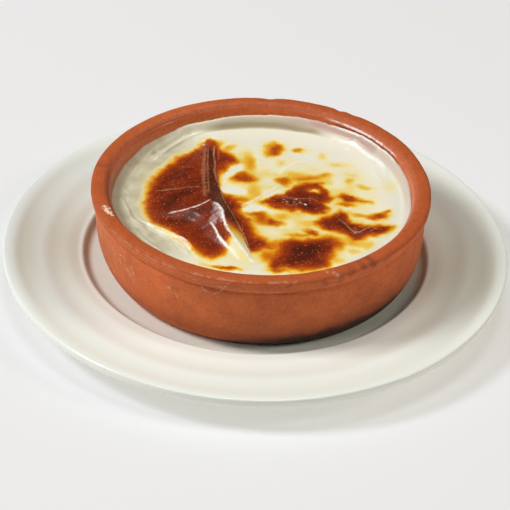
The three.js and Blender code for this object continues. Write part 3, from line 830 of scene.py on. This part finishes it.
def browning(x, y):
    """Tone of the baked skin at each place: ragged patches and soft spots, run together where they meet."""
    # Each place is looked up a little to one side, so that every outline comes out ragged.
    shifts = []
    for seed in (31, 61):
        shift = 1.1 * flat_bumps(x, y, 5.2, seed) + 0.6 * flat_bumps(x, y, 2.1, seed + 1)
        shifts.append(shift + 0.3 * flat_bumps(x, y, 0.9, seed + 2))
    px, py = x + shifts[0], y + shifts[1]
    blend = 4
    total = np.zeros(x.shape)
    for outline, deepest, fade, halo in BROWNED_PATCHES:
        depth = depth_inside(px, py, outline)
        steps = [-1.4 * halo, -halo, -0.6 * halo, -0.25 * halo, 0, 0.5 * fade, fade, 2.5 * fade]
        total += (deepest * np.interp(depth, steps, TONE_STEPS)) ** blend
    for spot in BROWNED_SPOTS:
        total += (spot[5] * spot_share(px, py, spot)) ** blend
    # A faint wash lies over the open skin, more to the right and none at the wall and the back.
    wash = 0.55 + 0.45 * smooth((x + 16) / 10)
    wash *= smooth((52 - np.hypot(x, y)) / 16)
    wash *= smooth((40 - y) / 20)
    total += (wash * np.clip(0.09 + 0.08 * flat_bumps(x, y, 5, 51), 0, 1)) ** blend
    tone = total ** (1 / blend)
    for line, half_width, change in TONE_LINES:
        away, share, _ = near_line(x, y, curved(line))
        tone += change * faded_ends(share, 0.15) * hump(away, 0, half_width)
    for gap in CREAM_GAPS:
        tone = tone - np.minimum(tone, gap[5] * spot_share(px, py, gap))
    torn_y, torn_tone = zip(*TORN_TONE)
    face_tone = np.interp(y + 0.8 * shifts[0], torn_y, torn_tone)
    tone = np.where(torn_face(x, y), face_tone, tone)
    mottle = 0.05 * flat_bumps(x, y, 4.5, 35) + 0.05 * flat_bumps(x, y, 1.6, 36)
    return tone + mottle * smooth((tone - 0.3) / 0.4)


def drawn_lines(x, y, lines, roughness):
    """How strongly lines of (line, half width, strength) show at each place, rough-edged and faded out."""
    shown = np.zeros(x.shape)
    for line, half_width, strength in lines:
        away, share, _ = near_line(x, y, curved(line))
        edges = np.clip(1.3 - away / half_width + roughness, 0, 1)
        shown = np.maximum(shown, strength * faded_ends(share, 0.1) * edges)
    return shown


def skin_marks(x, y, turn, edge, tone):
    """How strongly each mark of the skin shows at each place; edge is how far the skin reaches at its turn.

    The browned tone is one of them. White and tan highlights are painted along the crests, where the browning
    is also lighter, with a painted glint along the skin's edge at the back right and a painted highlight on
    it at the front. A film of milk hangs on the wall. A painted shadow of the rim lies along the left margin,
    and painted shade in the groove at the back, where the skin has drawn away from the wall. A painted grey
    sheen lies on the fold's left face. The torn face of the fold is rough and matt.
    """
    radius = np.hypot(x, y)
    fine = flat_bumps(x, y, 0.8, 48)
    drawn = flat_bumps(1.6 * x, 0.6 * y, 1.1, 47)
    at_wall = smooth((radius - 56) / 1.2)

    # The film of milk on the wall: bare beyond the lip at the back right, and hanging under the skin's edge.
    lip_side = radius > np.interp(turn, [24, 38, 48, 60], [56.2, 56.2, 57.0, 57.2])
    bare_film = band(turn, 33, 8, 78, 10) * (at_wall * lip_side)
    hang = band(turn, -20, 25, 120, 25) + 0.8 * smooth((np.abs(turn) - 125) / 30)
    hang *= 0.6 - 0.3 * smooth((turn - 75) / 12)

    # Painted shadow of the rim along the left margin, less where the skin has browned, and painted shade in
    # the groove at the back.
    west = smooth((np.abs(turn) - 112) / 26)
    margin = west * smooth((radius - 42.5) / 6) * (0.7 + 0.1 * flat_bumps(x, y, 3, 49))
    behind = band(turn, 58, 12, 128, 22) * smooth((radius - 53.8) / 1.6)
    back_groove_shade = behind * (0.3 + 0.65 * smooth((58.3 - radius) / 1.8))

    # A painted grey sheen on the fold, brightest along the patch's upper edge.
    sheen = smooth(0.45 + depth_inside(x, y, SHEEN_PATCH) / 2.2 + 0.3 * drawn)
    bright = smooth(1 - near_line(x, y, SHEEN_PATCH[4:7])[0] / 2.6)

    # Painted white highlights on the crests, with a painted glint along the lip and a painted highlight on
    # the skin's edge at the front.
    roughness = 0.45 * fine + 0.2 * drawn
    glint = band(turn, 24, 6, 64, 6)
    glint *= smooth(1.3 - np.abs(edge - radius - 0.5) / 0.55 + 0.3 * fine)
    rim_edge = band(-turn, 8, 25, 165, 25) * smooth(1.2 - (edge - radius) / 0.6)
    crest = np.maximum(drawn_lines(x, y, WHITE_LINES, roughness), glint)
    return {
        "browned": tone,
        # Painted white highlights on crests, lip and front edge.
        "crest": np.maximum(crest, 0.5 * rim_edge),
        "film": np.maximum(bare_film, hang * at_wall),
        # Painted shadow of the rim on the left margin, and painted shade in the back groove.
        "painted_margin_shade": np.clip(np.maximum(margin * (1 - 0.85 * smooth(tone / 0.3)), back_groove_shade), 0, 1),
        # Painted grey sheen on the fold's left face.
        "sheen": sheen * (0.38 + 0.5 * bright + 0.35 * fine),
        # Painted tan highlights on the lower crests, where the browning is also thinner.
        "stretched_and_lit": drawn_lines(x, y, TAN_LINES, roughness),
        "torn": torn_face(x, y) * 1.0,
    }


def pudding_skin():
    """Places of the pudding's skin as a square grid spread over the bowl, with the marks on it."""
    u, v = disc_grid(GRID)
    angle = np.arctan2(v, u)
    turn = np.degrees(angle)
    ragged = skin_edge_waver(angle)
    edge = wall_radius(PUDDING_LEVEL + skin_climb_height(angle) + ragged) + SKIN_OVERLAP
    x, y = u * edge, v * edge
    radius = np.hypot(x, y)
    height = skin_height(x, y) + ragged * smooth(1 - (edge - radius) / 2.5)
    for line, rise, width in [*SKIN_LINES, *MARGIN_LINES, (SKIN_LIP, 0.55, 0.7), (BACK_GROOVE, -0.6, 1.5)]:
        height += ridge(x, y, line, rise, width)
    tone = browning(x, y)
    blister = 0.06 * flat_bumps(x, y, 2.1, 43) + 0.04 * flat_bumps(x, y, 0.9, 44)
    wrinkled = smooth((radius - 43) / 4) * smooth((np.abs(turn) - 80) / 30)
    height += 0.13 * wrinkled * flat_bumps(10 * angle, radius, 1.5, 52)
    height += (0.3 + 0.7 * smooth((tone - 0.3) / 0.4)) * blister + 0.08 * flat_bumps(x, y, 6, 45)
    places = np.stack([x, y, PUDDING_LEVEL + height], axis=-1)
    return out_of_round(places), skin_marks(x, y, turn, edge, tone)


def pudding_mesh():
    """Places, faces and marks of the whole pudding: its skin, and plain sides and bottom inside the bowl."""
    skin, marks = pudding_skin()
    side = GRID + 1
    index = np.arange(side * side).reshape(side, side)
    squares = np.stack([index[:-1, :-1], index[:-1, 1:], index[1:, 1:], index[1:, :-1]], axis=-1)
    edge = np.concatenate([index[0, :-1], index[:-1, -1], index[-1, :0:-1], index[:0:-1, 0]])
    places = skin.reshape(-1, 3)
    turns = np.arctan2(places[edge, 1], places[edge, 0])
    rings = []
    for height in SIDE_HEIGHTS:
        radius = wall_radius(height) - PUDDING_CLEARANCE
        ring = [radius * np.cos(turns), radius * np.sin(turns), 0 * turns + height]
        rings.append(np.stack(ring, axis=-1))
    faces = squares.reshape(-1, 4).tolist()
    count = len(edge)
    loops = [edge] + [side * side + k * count + np.arange(count) for k in range(len(rings))]
    for upper, lower in zip(loops, loops[1:]):
        faces += np.stack([lower, np.roll(lower, -1), np.roll(upper, -1), upper], axis=-1).tolist()
    bottom = side * side + len(rings) * count
    lowest = loops[-1]
    faces += np.stack([np.roll(lowest, -1), lowest, np.full(count, bottom)], axis=-1).tolist()
    places = np.concatenate([places, *rings, [[0, 0, BOWL_FLOOR + PUDDING_CLEARANCE]]])
    hidden = np.zeros(len(rings) * count + 1)
    return places, faces, {name: np.concatenate([values.ravel(), hidden]) for name, values in marks.items()}


# ---- Materials ----
# Sockets of a mix of colours: the upper colour's share, the lower colour, the upper colour and the result.
SHARE, LOWER, UPPER, MIXED = 0, 6, 7, 2
# In each material the layers of colour are listed from the lowest up, as (share, colour, way of mixing).


def hex_colour(text):
    """An sRGB hex value as a linear RGBA colour."""
    channels = [int(text[i : i + 2], 16) / 255 for i in (1, 3, 5)]
    linear = [c / 12.92 if c <= 0.04045 else ((c + 0.055) / 1.055) ** 2.4 for c in channels]
    return (*linear, 1.0)


def add_node(tree, kind, inputs=None, stops=None, **settings):
    """Adds a node with its settings, the values or links of its inputs and, on a ramp, its stops."""
    node = tree.nodes.new(kind)
    for name, value in settings.items():
        setattr(node, name, value)
    for socket, value in (inputs or {}).items():
        if isinstance(value, bpy.types.NodeSocket):
            tree.links.new(value, node.inputs[socket])
        else:
            node.inputs[socket].default_value = value
    if stops:
        ramp = node.color_ramp
        while len(ramp.elements) < len(stops):
            ramp.elements.new(0.5)
        for element, (position, colour) in zip(ramp.elements, stops):
            element.position = position
            element.color = hex_colour(colour) if isinstance(colour, str) else tuple(colour)
    return node


def new_material(name, mark_names=()):
    """An empty node material, with its tree, its object coordinates in metres and the value of each mark."""
    material = bpy.data.materials.new(name)
    material.use_nodes = True
    tree = material.node_tree
    tree.nodes.clear()
    place = add_node(tree, "ShaderNodeTexCoord").outputs["Object"]
    marks = {}
    for mark in mark_names:
        marks[mark] = add_node(tree, "ShaderNodeAttribute", attribute_name=mark).outputs["Fac"]
    return material, tree, place, marks


def per_size(size):
    """Scale of a noise or Voronoi texture whose features are this many millimetres across."""
    return 1 / (size * MM)


def small_specks(tree, place, spacing, largest, share, dimensions="3D"):
    """1 on round specks: their spacing in millimetres, largest radius as a part of it, share of places."""
    cells = add_node(
        tree, "ShaderNodeTexVoronoi", {"Vector": place, "Scale": per_size(spacing)},
        voronoi_dimensions=dimensions,
    )
    slope = largest / share
    radius = add_node(
        tree, "ShaderNodeMath", {0: cells.outputs["Color"], 1: slope, 2: slope * (share - 1)},
        operation="MULTIPLY_ADD",
    )
    within = add_node(
        tree, "ShaderNodeMath", {0: radius.outputs[0], 1: cells.outputs["Distance"]}, operation="SUBTRACT",
    )
    return add_node(tree, "ShaderNodeMapRange", {"Value": within.outputs[0], "From Max": 0.05}).outputs[0]


def finish_material(material, tree, shader):
    """Joins a shader to the material's output."""
    add_node(tree, "ShaderNodeOutputMaterial", {"Surface": shader.outputs[0]})
    return material


def stoneware_glaze_material(settings):
    """Stoneware, pressed and dipped in white glaze: a clear gloss, whitest over the rings' crests where it
    ran thinner.

    Between the rings the glaze is a little greyer and warmer, and painted shade darkens the foot of the step;
    in the well it lies even. Painted shade dims the rim's two sides to a pale fawn grey, and the outer edge
    is painted whiter where light catches it.
    """
    material, tree, place, marks = new_material(
        "dipped_white_stoneware_glaze", ["pooled_and_step_shade", "painted_side_shade", "lip"],
    )
    cloud = add_node(tree, "ShaderNodeTexNoise", {"Vector": place, "Scale": per_size(38), "Detail": 3.0})
    fine = add_node(tree, "ShaderNodeTexNoise", {"Vector": place, "Scale": per_size(3.2), "Detail": 2.0})
    # Glaze colour by its depth between the rings, darkest at the step's foot, where shade is painted.
    depth = add_node(
        tree, "ShaderNodeValToRGB", {"Fac": marks["pooled_and_step_shade"]},
        stops=[(0.0, "#F0F5EB"), (0.3, settings.glaze_colour), (0.65, "#EEF3EC"), (1.0, "#B4AE9A")],
    )
    warm = add_node(tree, "ShaderNodeMath", {0: cloud.outputs["Fac"], 1: 0.1}, operation="MULTIPLY")
    layers = [
        (warm.outputs[0], hex_colour("#DAD5C6"), "MIX"),
        # Painted light on the outer edge.
        (marks["lip"], hex_colour("#FFFCF1"), "MIX"),
        # Painted shade on the rim's two sides.
        (marks["painted_side_shade"], hex_colour("#DFD7CE"), "MULTIPLY"),
    ]
    colour = depth.outputs[0]
    for share, layer, blend in layers:
        mix = add_node(
            tree, "ShaderNodeMix", {SHARE: share, LOWER: colour, UPPER: layer},
            data_type="RGBA", blend_type=blend,
        )
        colour = mix.outputs[MIXED]
    ripple = add_node(
        tree, "ShaderNodeBump", {"Height": fine.outputs["Fac"], "Strength": 0.05, "Distance": 0.15 * MM},
    )
    shader = add_node(tree, "ShaderNodeBsdfPrincipled", {
        "Base Color": colour, "Normal": ripple.outputs[0],
        "Roughness": settings.glaze_roughness, "IOR": 1.5,
    })
    return finish_material(material, tree, shader)


def shaded(colour, factor):
    """A linear colour made lighter or darker by a factor."""
    return (*[min(1, c * factor) for c in colour[:3]], 1)


def red_clay_material(settings):
    """Red earthenware, thrown and once fired: a dry, grainy orange-red with throwing lines, scuffs and a
    sooty foot.

    Painted shade darkens the foot and lower wall on the shaded front right, over the real sooting, and a
    painted shadow line runs above the skin's edge at the back right, under a painted glint on the bevel.
    Painted light brightens the lit left wall, and painted highlights run along the rim's edge among its wear.
    Inside the bowl a fine clear glaze makes the clay glossy; the inner bevel under the rim is darker, partly
    the glazed clay's own colour and partly painted shade on the left, where it faces away from the light. The
    clay's own grain is too fine to show, so it is drawn 0.9 mm across.
    """
    material, tree, place, marks = new_material(
        "thrown_red_earthenware", ["wear_and_edge_light", "soot_and_shade", "smoke_and_shade", "glaze", "rim", "bevel", "gleam", "painted_light_left"],
    )
    clay = settings.clay_colour
    drawn = add_node(tree, "ShaderNodeMapping", {"Vector": place, "Scale": (0.3, 0.3, 1.0)}).outputs[0]
    cloud, streak, grain, blotch = [
        add_node(tree, "ShaderNodeTexNoise", {
            "Vector": where, "Scale": per_size(size), "Detail": detail, "Roughness": roughness,
        }).outputs["Fac"]
        for where, size, detail, roughness in (
            (place, 16, 4.0, 0.6), (drawn, 1.7, 3.0, 0.5), (place, 0.9, 3.0, 0.7), (place, 4.5, 5.0, 0.7),
        )
    ]
    body, inner, worn_and_lit = [
        add_node(tree, "ShaderNodeValToRGB", {"Fac": value}, stops=stops).outputs[0]
        for value, stops in (
            (cloud, [(0.25, shaded(clay, 0.78)), (0.75, shaded(clay, 1.16))]),
            # Colours of the glazed bevel, its darker end partly painted shade.
            (marks["bevel"], [(0.5, "#C8704E"), (0.9, "#94482A")]),
            (marks["wear_and_edge_light"], [(0.2, "#CC7A52"), (0.6, "#DC9A76"), (0.95, "#F1D8BE")]),
        )
    ]
    grit = small_specks(tree, place, spacing=2.2, largest=0.16, share=0.4)
    faint_grit, faint_smoke_and_shade = [
        add_node(tree, "ShaderNodeMath", {0: value, 1: part}, operation="MULTIPLY").outputs[0]
        for value, part in ((grit, 0.35), (marks["smoke_and_shade"], 0.75))
    ]
    layers = [
        (0.16, streak, "OVERLAY"),
        (marks["rim"], hex_colour("#B4531F"), "MIX"),
        # Painted light on the lit left wall.
        (marks["painted_light_left"], hex_colour("#DE9A78"), "MIX"),
        # Glazed bevel, with painted shade on its left side.
        (marks["bevel"], inner, "MIX"),
        (0.3, blotch, "OVERLAY"),
        (0.5, grain, "OVERLAY"),
        (faint_grit, hex_colour("#E0A27C"), "MIX"),
        # Wear, with painted highlights along the rim's edge.
        (marks["wear_and_edge_light"], worn_and_lit, "MIX"),
        # Smoky darkening, partly painted shade, and the painted shadow line over the skin's edge.
        (faint_smoke_and_shade, hex_colour("#5C3026"), "MIX"),
        # Soot, partly painted shade on the shaded front right.
        (marks["soot_and_shade"], hex_colour("#463229"), "MIX"),
        # Painted glint on the bevel.
        (marks["gleam"], hex_colour("#FFF4EE"), "MIX"),
    ]
    colour = body
    for share, layer, blend in layers:
        mix = add_node(
            tree, "ShaderNodeMix", {SHARE: share, LOWER: colour, UPPER: layer},
            data_type="RGBA", blend_type=blend,
        )
        colour = mix.outputs[MIXED]
    rough = add_node(tree, "ShaderNodeMapRange", {"Value": marks["glaze"], "To Min": 0.78, "To Max": 0.22})
    relief = add_node(tree, "ShaderNodeMath", {0: grain, 1: streak}, operation="ADD")
    pitted = add_node(
        tree, "ShaderNodeBump", {"Height": relief.outputs[0], "Strength": 0.5, "Distance": 0.12 * MM},
    )
    shader = add_node(tree, "ShaderNodeBsdfPrincipled", {
        "Base Color": colour, "Normal": pitted.outputs[0], "Roughness": rough.outputs[0], "IOR": 1.5,
    })
    return finish_material(material, tree, shader)


def baked_skin_material(settings):
    """The skin of milk and rice starch, browned under the grill: satin cream with glossy caramel patches.

    The milk lets light in a little, so the cream glows softly; browned parts are denser and blistered. Their
    finest blisters are too small to show, so they are drawn 0.8 mm across.
    """
    material, tree, place, marks = new_material(
        "grilled_milk_skin", ["browned", "crest", "film", "painted_margin_shade", "sheen", "stretched_and_lit", "torn"],
    )
    crumb = add_node(tree, "ShaderNodeTexNoise", {
        "Vector": place, "Scale": per_size(0.8), "Detail": 3.0, "Roughness": 0.65,
    }).outputs["Fac"]
    cloud = add_node(tree, "ShaderNodeTexNoise", {"Vector": place, "Scale": per_size(7), "Detail": 3.0})
    speck = small_specks(tree, place, spacing=1.3, largest=0.32, share=0.6, dimensions="2D")
    ragged, toasted, baked = [
        add_node(tree, "ShaderNodeMapRange", {
            "Value": value, "From Min": low, "From Max": high, "To Min": least, "To Max": most,
        }).outputs[0]
        for value, low, high, least, most in (
            (crumb, 0.25, 0.75, -0.09, 0.09), (marks["browned"], 0.12, 0.5, 0.0, 1.0),
            (marks["browned"], 0.1, 0.7, 0.34, 0.45),
        )
    ]
    swing, crusty, browned_speck = [
        add_node(tree, "ShaderNodeMath", {0: value, 1: toasted}, operation="MULTIPLY").outputs[0]
        for value in (ragged, 0.42, speck)
    ]
    faint_speck = add_node(tree, "ShaderNodeMath", {0: browned_speck, 1: 0.7}, operation="MULTIPLY")
    tone, lumps = [
        add_node(tree, "ShaderNodeMath", {0: first, 1: second}, operation="ADD").outputs[0]
        for first, second in ((marks["browned"], swing), (crumb, browned_speck))
    ]
    toast = add_node(tree, "ShaderNodeValToRGB", {"Fac": tone}, stops=[
        (0.0, settings.cream), (0.1, "#F3E8B2"), (0.22, "#EFCC55"), (0.34, "#E59E18"), (0.46, "#CF6F0B"),
        (0.58, "#AE480E"), (0.72, "#943710"), (0.86, "#742711"), (1.0, "#4A1C0D"),
    ])
    # Colours of the painted shade on the margin and in the back groove.
    margin = add_node(
        tree, "ShaderNodeValToRGB", {"Fac": marks["painted_margin_shade"]}, stops=[(0.5, "#C6C09E"), (1.0, "#A0906E")],
    )
    layers = [
        (0.16, cloud.outputs["Fac"], "OVERLAY"),
        (crusty, crumb, "OVERLAY"),
        (faint_speck.outputs[0], hex_colour("#D97F4E"), "MIX"),
        # Painted shadow of the rim on the left margin, and painted shade in the back groove.
        (marks["painted_margin_shade"], margin.outputs[0], "MIX"),
        (marks["film"], hex_colour("#D0B5A7"), "MIX"),
        # Painted tan highlights on the lower crests.
        (marks["stretched_and_lit"], hex_colour("#D0956C"), "MIX"),
        # Painted grey sheen on the fold's left face.
        (marks["sheen"], hex_colour("#DACCCB"), "MIX"),
        # Painted white highlights on crests, lip and front edge.
        (marks["crest"], hex_colour("#FFFCF6"), "MIX"),
    ]
    colour = toast.outputs[0]
    for share, layer, blend in layers:
        mix = add_node(
            tree, "ShaderNodeMix", {SHARE: share, LOWER: colour, UPPER: layer},
            data_type="RGBA", blend_type=blend,
        )
        colour = mix.outputs[MIXED]
    relief = add_node(tree, "ShaderNodeBump", {"Height": lumps, "Strength": 0.35, "Distance": 0.15 * MM})
    rough = add_node(tree, "ShaderNodeMix", {0: marks["torn"], 2: baked, 3: 0.9})
    shader = add_node(tree, "ShaderNodeBsdfPrincipled", {
        "Base Color": colour, "Normal": relief.outputs[0], "Roughness": rough.outputs[0], "IOR": 1.42,
        "Subsurface Weight": 0.2, "Subsurface Radius": (1.0, 0.55, 0.25), "Subsurface Scale": 1.6 * MM,
        "Specular IOR Level": 0.32, "Coat Weight": 0.12, "Coat Roughness": 0.14, "Coat IOR": 1.45,
    })
    return finish_material(material, tree, shader)


def stage_material(settings):
    """An opal acrylic light table, lit from below so that it glows softly and shadows on it stay faint."""
    material, tree, place, _ = new_material("lit_opal_acrylic_table")
    cloud = add_node(tree, "ShaderNodeTexNoise", {"Vector": place, "Scale": per_size(300)})
    colours = {LOWER: tuple(settings.floor_colour), UPPER: shaded(settings.floor_colour, 0.985)}
    base = add_node(tree, "ShaderNodeMix", {SHARE: cloud.outputs["Fac"], **colours}, data_type="RGBA")
    shader = add_node(tree, "ShaderNodeBsdfPrincipled", {
        "Base Color": base.outputs[MIXED], "Roughness": 0.7, "IOR": 1.49,
        "Emission Color": (1, 0.93, 0.79, 1), "Emission Strength": settings.floor_glow,
    })
    return finish_material(material, tree, shader)


# ---- Settings ----
class UnderplateSettings(bpy.types.PropertyGroup):
    """Relief and glaze of the underplate"""

    ring_depth: bpy.props.FloatProperty(
        name="Ring depth", description="How far a ring stands above or below the rim's slope",
        default=0.25 * MM, min=0, unit="LENGTH", subtype="DISTANCE", precision=5,
    )
    glaze_colour: bpy.props.FloatVectorProperty(
        name="Glaze", description="Colour of the underplate's glaze", default=hex_colour("#F2F9F4"), size=4,
        min=0, max=1, subtype="COLOR",
    )
    glaze_roughness: bpy.props.FloatProperty(
        name="Glaze roughness", description="How soft the reflections in the glaze are", default=0.2,
        min=0, max=1, subtype="FACTOR",
    )


class ClayBowlSettings(bpy.types.PropertyGroup):
    """Unevenness and colour of the clay bowl"""

    unevenness: bpy.props.FloatProperty(
        name="Unevenness", description="How far the thrown wall bulges and dips", default=0.22 * MM, min=0,
        unit="LENGTH", subtype="DISTANCE", precision=5,
    )
    clay_colour: bpy.props.FloatVectorProperty(
        name="Clay", description="Colour of the fired clay", default=hex_colour("#D46A33"), size=4,
        min=0, max=1, subtype="COLOR",
    )


class PuddingSettings(bpy.types.PropertyGroup):
    """Colour of the pudding's skin"""

    cream: bpy.props.FloatVectorProperty(
        name="Cream", description="Colour of the skin where it isn't browned", default=hex_colour("#EFEDDD"),
        size=4, min=0, max=1, subtype="COLOR",
    )


class StageSettings(bpy.types.PropertyGroup):
    """Table, surroundings and camera"""

    floor_colour: bpy.props.FloatVectorProperty(
        name="Floor", description="Colour of the table top", default=hex_colour("#AEB4C1"), size=4,
        min=0, max=1, subtype="COLOR",
    )
    floor_glow: bpy.props.FloatProperty(
        name="Floor glow", description="Strength of the light that comes up through the table",
        default=0.42, min=0,
    )
    floor_width: bpy.props.FloatProperty(
        name="Floor width", description="Length of each side of the table top", default=6.0, unit="LENGTH",
        subtype="DISTANCE",
    )
    sky: bpy.props.FloatProperty(
        name="Surroundings", description="Strength of the even light from all round", default=0.0, min=0,
    )
    camera_elevation: bpy.props.FloatProperty(
        name="Camera elevation", description="Angle of the camera above the table",
        default=math.radians(34.786), subtype="ANGLE", unit="ROTATION",
    )
    camera_roll: bpy.props.FloatProperty(
        name="Camera roll", description="How far the camera is turned about its line of sight",
        default=math.radians(2.521), subtype="ANGLE", unit="ROTATION",
    )
    camera_distance: bpy.props.FloatProperty(
        name="Camera distance", description="From the camera to the point it looks at", default=1105.6 * MM,
        unit="LENGTH", subtype="DISTANCE",
    )
    camera_lens: bpy.props.FloatProperty(
        name="Lens", description="Focal length of the camera in millimetres", default=192.59,
    )


# ---- Operators ----
class PUDDING_OT_underplate(bpy.types.Operator):
    """Make the ringed stoneware underplate"""

    bl_idname = "pudding.underplate"
    bl_label = "Underplate"

    def execute(self, context):
        settings = context.scene.pudding_underplate
        rings = underplate_rings(settings.ring_depth / MM)
        glaze = stoneware_glaze_material(settings)
        plate = turned_piece("stoneware_underplate", rings, plate_marks, [glaze], np.zeros(3))
        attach(plate, "root")
        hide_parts("underplate")
        return {"FINISHED"}


class PUDDING_OT_clay_bowl(bpy.types.Operator):
    """Make the hand-thrown red clay bowl"""

    bl_idname = "pudding.clay_bowl"
    bl_label = "Clay bowl"

    def execute(self, context):
        settings = context.scene.pudding_clay_bowl
        rings = clay_bowl_rings(settings.unevenness / MM)
        clay = red_clay_material(settings)
        bowl = turned_piece("thrown_clay_bowl", rings, clay_marks, [clay], BOWL_PLACE)
        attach(bowl, "root")
        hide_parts("clay_bowl")
        return {"FINISHED"}


class PUDDING_OT_rice_pudding(bpy.types.Operator):
    """Make the rice pudding with its browned and folded skin"""

    bl_idname = "pudding.rice_pudding"
    bl_label = "Rice pudding"

    def execute(self, context):
        settings = context.scene.pudding_skin
        places, faces, marks = pudding_mesh()
        skin = baked_skin_material(settings)
        pudding = new_piece("baked_pudding", places + BOWL_PLACE, faces, marks, [skin])
        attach(pudding, "root")
        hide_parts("pudding")
        return {"FINISHED"}


# The point the camera looks at, in millimetres; the softboxes' aim and distance from it are in metres.
CAMERA_TARGET = (-0.134, 9.146, 4.033)
LIGHT_TARGET = (0, 0, 0.02)
SOFTBOX_DISTANCE = 2.5
# Square softboxes as (name, turn and elevation in degrees, side in metres, power in watts, colour); turn 0
# is along +X.
SOFTBOXES = [
    ("key_softbox", 183, 46, 0.62, 40, "#FFFFFF"),
    ("fill_softbox", -10, 36, 0.62, 16.5, "#FFF5E4"),
    ("top_softbox", 0, 88, 0.8, 17, "#FFFCF4"),
    ("front_softbox", -135, 45, 0.8, 8, "#FFFFFF"),
]


def aimed(turn, elevation, distance, target):
    """A place that far from a target, at a turn and elevation in degrees, and the rotation that faces it."""
    a, e = math.radians(turn), math.radians(elevation)
    way = Vector((math.cos(e) * math.cos(a), math.cos(e) * math.sin(a), math.sin(e)))
    return target + way * distance, way.to_track_quat("Z", "Y")


class PUDDING_OT_stage(bpy.types.Operator):
    """Set the pale table, the softboxes and the camera"""

    bl_idname = "pudding.stage"
    bl_label = "Stage, light and camera"

    def execute(self, context):
        settings = context.scene.pudding_stage
        half = settings.floor_width / 2
        floor = bpy.data.meshes.new("table_top")
        corners = [(-half, -half, 0), (half, -half, 0), (half, half, 0), (-half, half, 0)]
        floor.from_pydata(corners, [], [(0, 1, 2, 3)])
        floor.materials.append(stage_material(settings))
        table = bpy.data.objects.new("table_top", floor)
        context.scene.collection.objects.link(table)

        for name, turn, elevation, side, power, colour in SOFTBOXES:
            light = bpy.data.lights.new(name, "AREA")
            light.shape = "RECTANGLE"
            light.size = side
            light.size_y = side
            light.energy = power
            light.color = hex_colour(colour)[:3]
            softbox = bpy.data.objects.new(name, light)
            place, rotation = aimed(turn, elevation, SOFTBOX_DISTANCE, Vector(LIGHT_TARGET))
            softbox.location = place
            softbox.rotation_mode = "QUATERNION"
            softbox.rotation_quaternion = rotation
            context.scene.collection.objects.link(softbox)

        world = bpy.data.worlds.new("white_surroundings")
        world.use_nodes = True
        sky = world.node_tree.nodes["Background"]
        sky.inputs["Color"].default_value = (1, 1, 1, 1)
        sky.inputs["Strength"].default_value = settings.sky
        context.scene.world = world

        lens = bpy.data.cameras.new("camera")
        lens.lens = settings.camera_lens
        camera = bpy.data.objects.new("camera", lens)
        target = Vector(CAMERA_TARGET) * MM
        back = Vector((0, -math.cos(settings.camera_elevation), math.sin(settings.camera_elevation)))
        tilt = Matrix.Rotation(math.pi / 2 - settings.camera_elevation, 4, "X")
        roll = Matrix.Rotation(settings.camera_roll, 4, "Z")
        camera.matrix_world = Matrix.Translation(target + back * settings.camera_distance) @ tilt @ roll
        context.scene.collection.objects.link(camera)
        context.scene.camera = camera
        context.scene.view_settings.view_transform = "Standard"
        return {"FINISHED"}


# ---- Sidebar ----
class PUDDING_PT_sidebar(bpy.types.Panel):
    """Lists the pieces and their sizes and colours"""

    bl_idname = "PUDDING_PT_sidebar"
    bl_label = "Rice pudding"
    bl_space_type = "VIEW_3D"
    bl_region_type = "UI"
    bl_category = "Rice pudding"

    def draw(self, context):
        for operator, group in STEPS:
            box = self.layout.box()
            settings = getattr(context.scene, group)
            for name in settings.__annotations__:
                box.prop(settings, name)
            box.operator(operator)


STEPS = [
    ("pudding.underplate", "pudding_underplate"),
    ("pudding.clay_bowl", "pudding_clay_bowl"),
    ("pudding.rice_pudding", "pudding_skin"),
    ("pudding.stage", "pudding_stage"),
]
GROUPS = {
    "pudding_underplate": UnderplateSettings,
    "pudding_clay_bowl": ClayBowlSettings,
    "pudding_skin": PuddingSettings,
    "pudding_stage": StageSettings,
}
CLASSES = [
    *GROUPS.values(), PUDDING_OT_underplate, PUDDING_OT_clay_bowl, PUDDING_OT_rice_pudding,
    PUDDING_OT_stage, PUDDING_PT_sidebar,
]


def register():
    """Adds the classes, and the settings to every scene."""
    for cls in CLASSES:
        bpy.utils.register_class(cls)
    for name, group in GROUPS.items():
        setattr(bpy.types.Scene, name, bpy.props.PointerProperty(type=group))


def unregister():
    """Takes the settings and the classes away again."""
    for name in GROUPS:
        delattr(bpy.types.Scene, name)
    for cls in reversed(CLASSES):
        bpy.utils.unregister_class(cls)


def main():
    """Makes every piece and the stage."""
    register()
    for operator, _ in STEPS:
        group, name = operator.split(".")
        getattr(getattr(bpy.ops, group), name)()


if __name__ == "__main__":
    main()
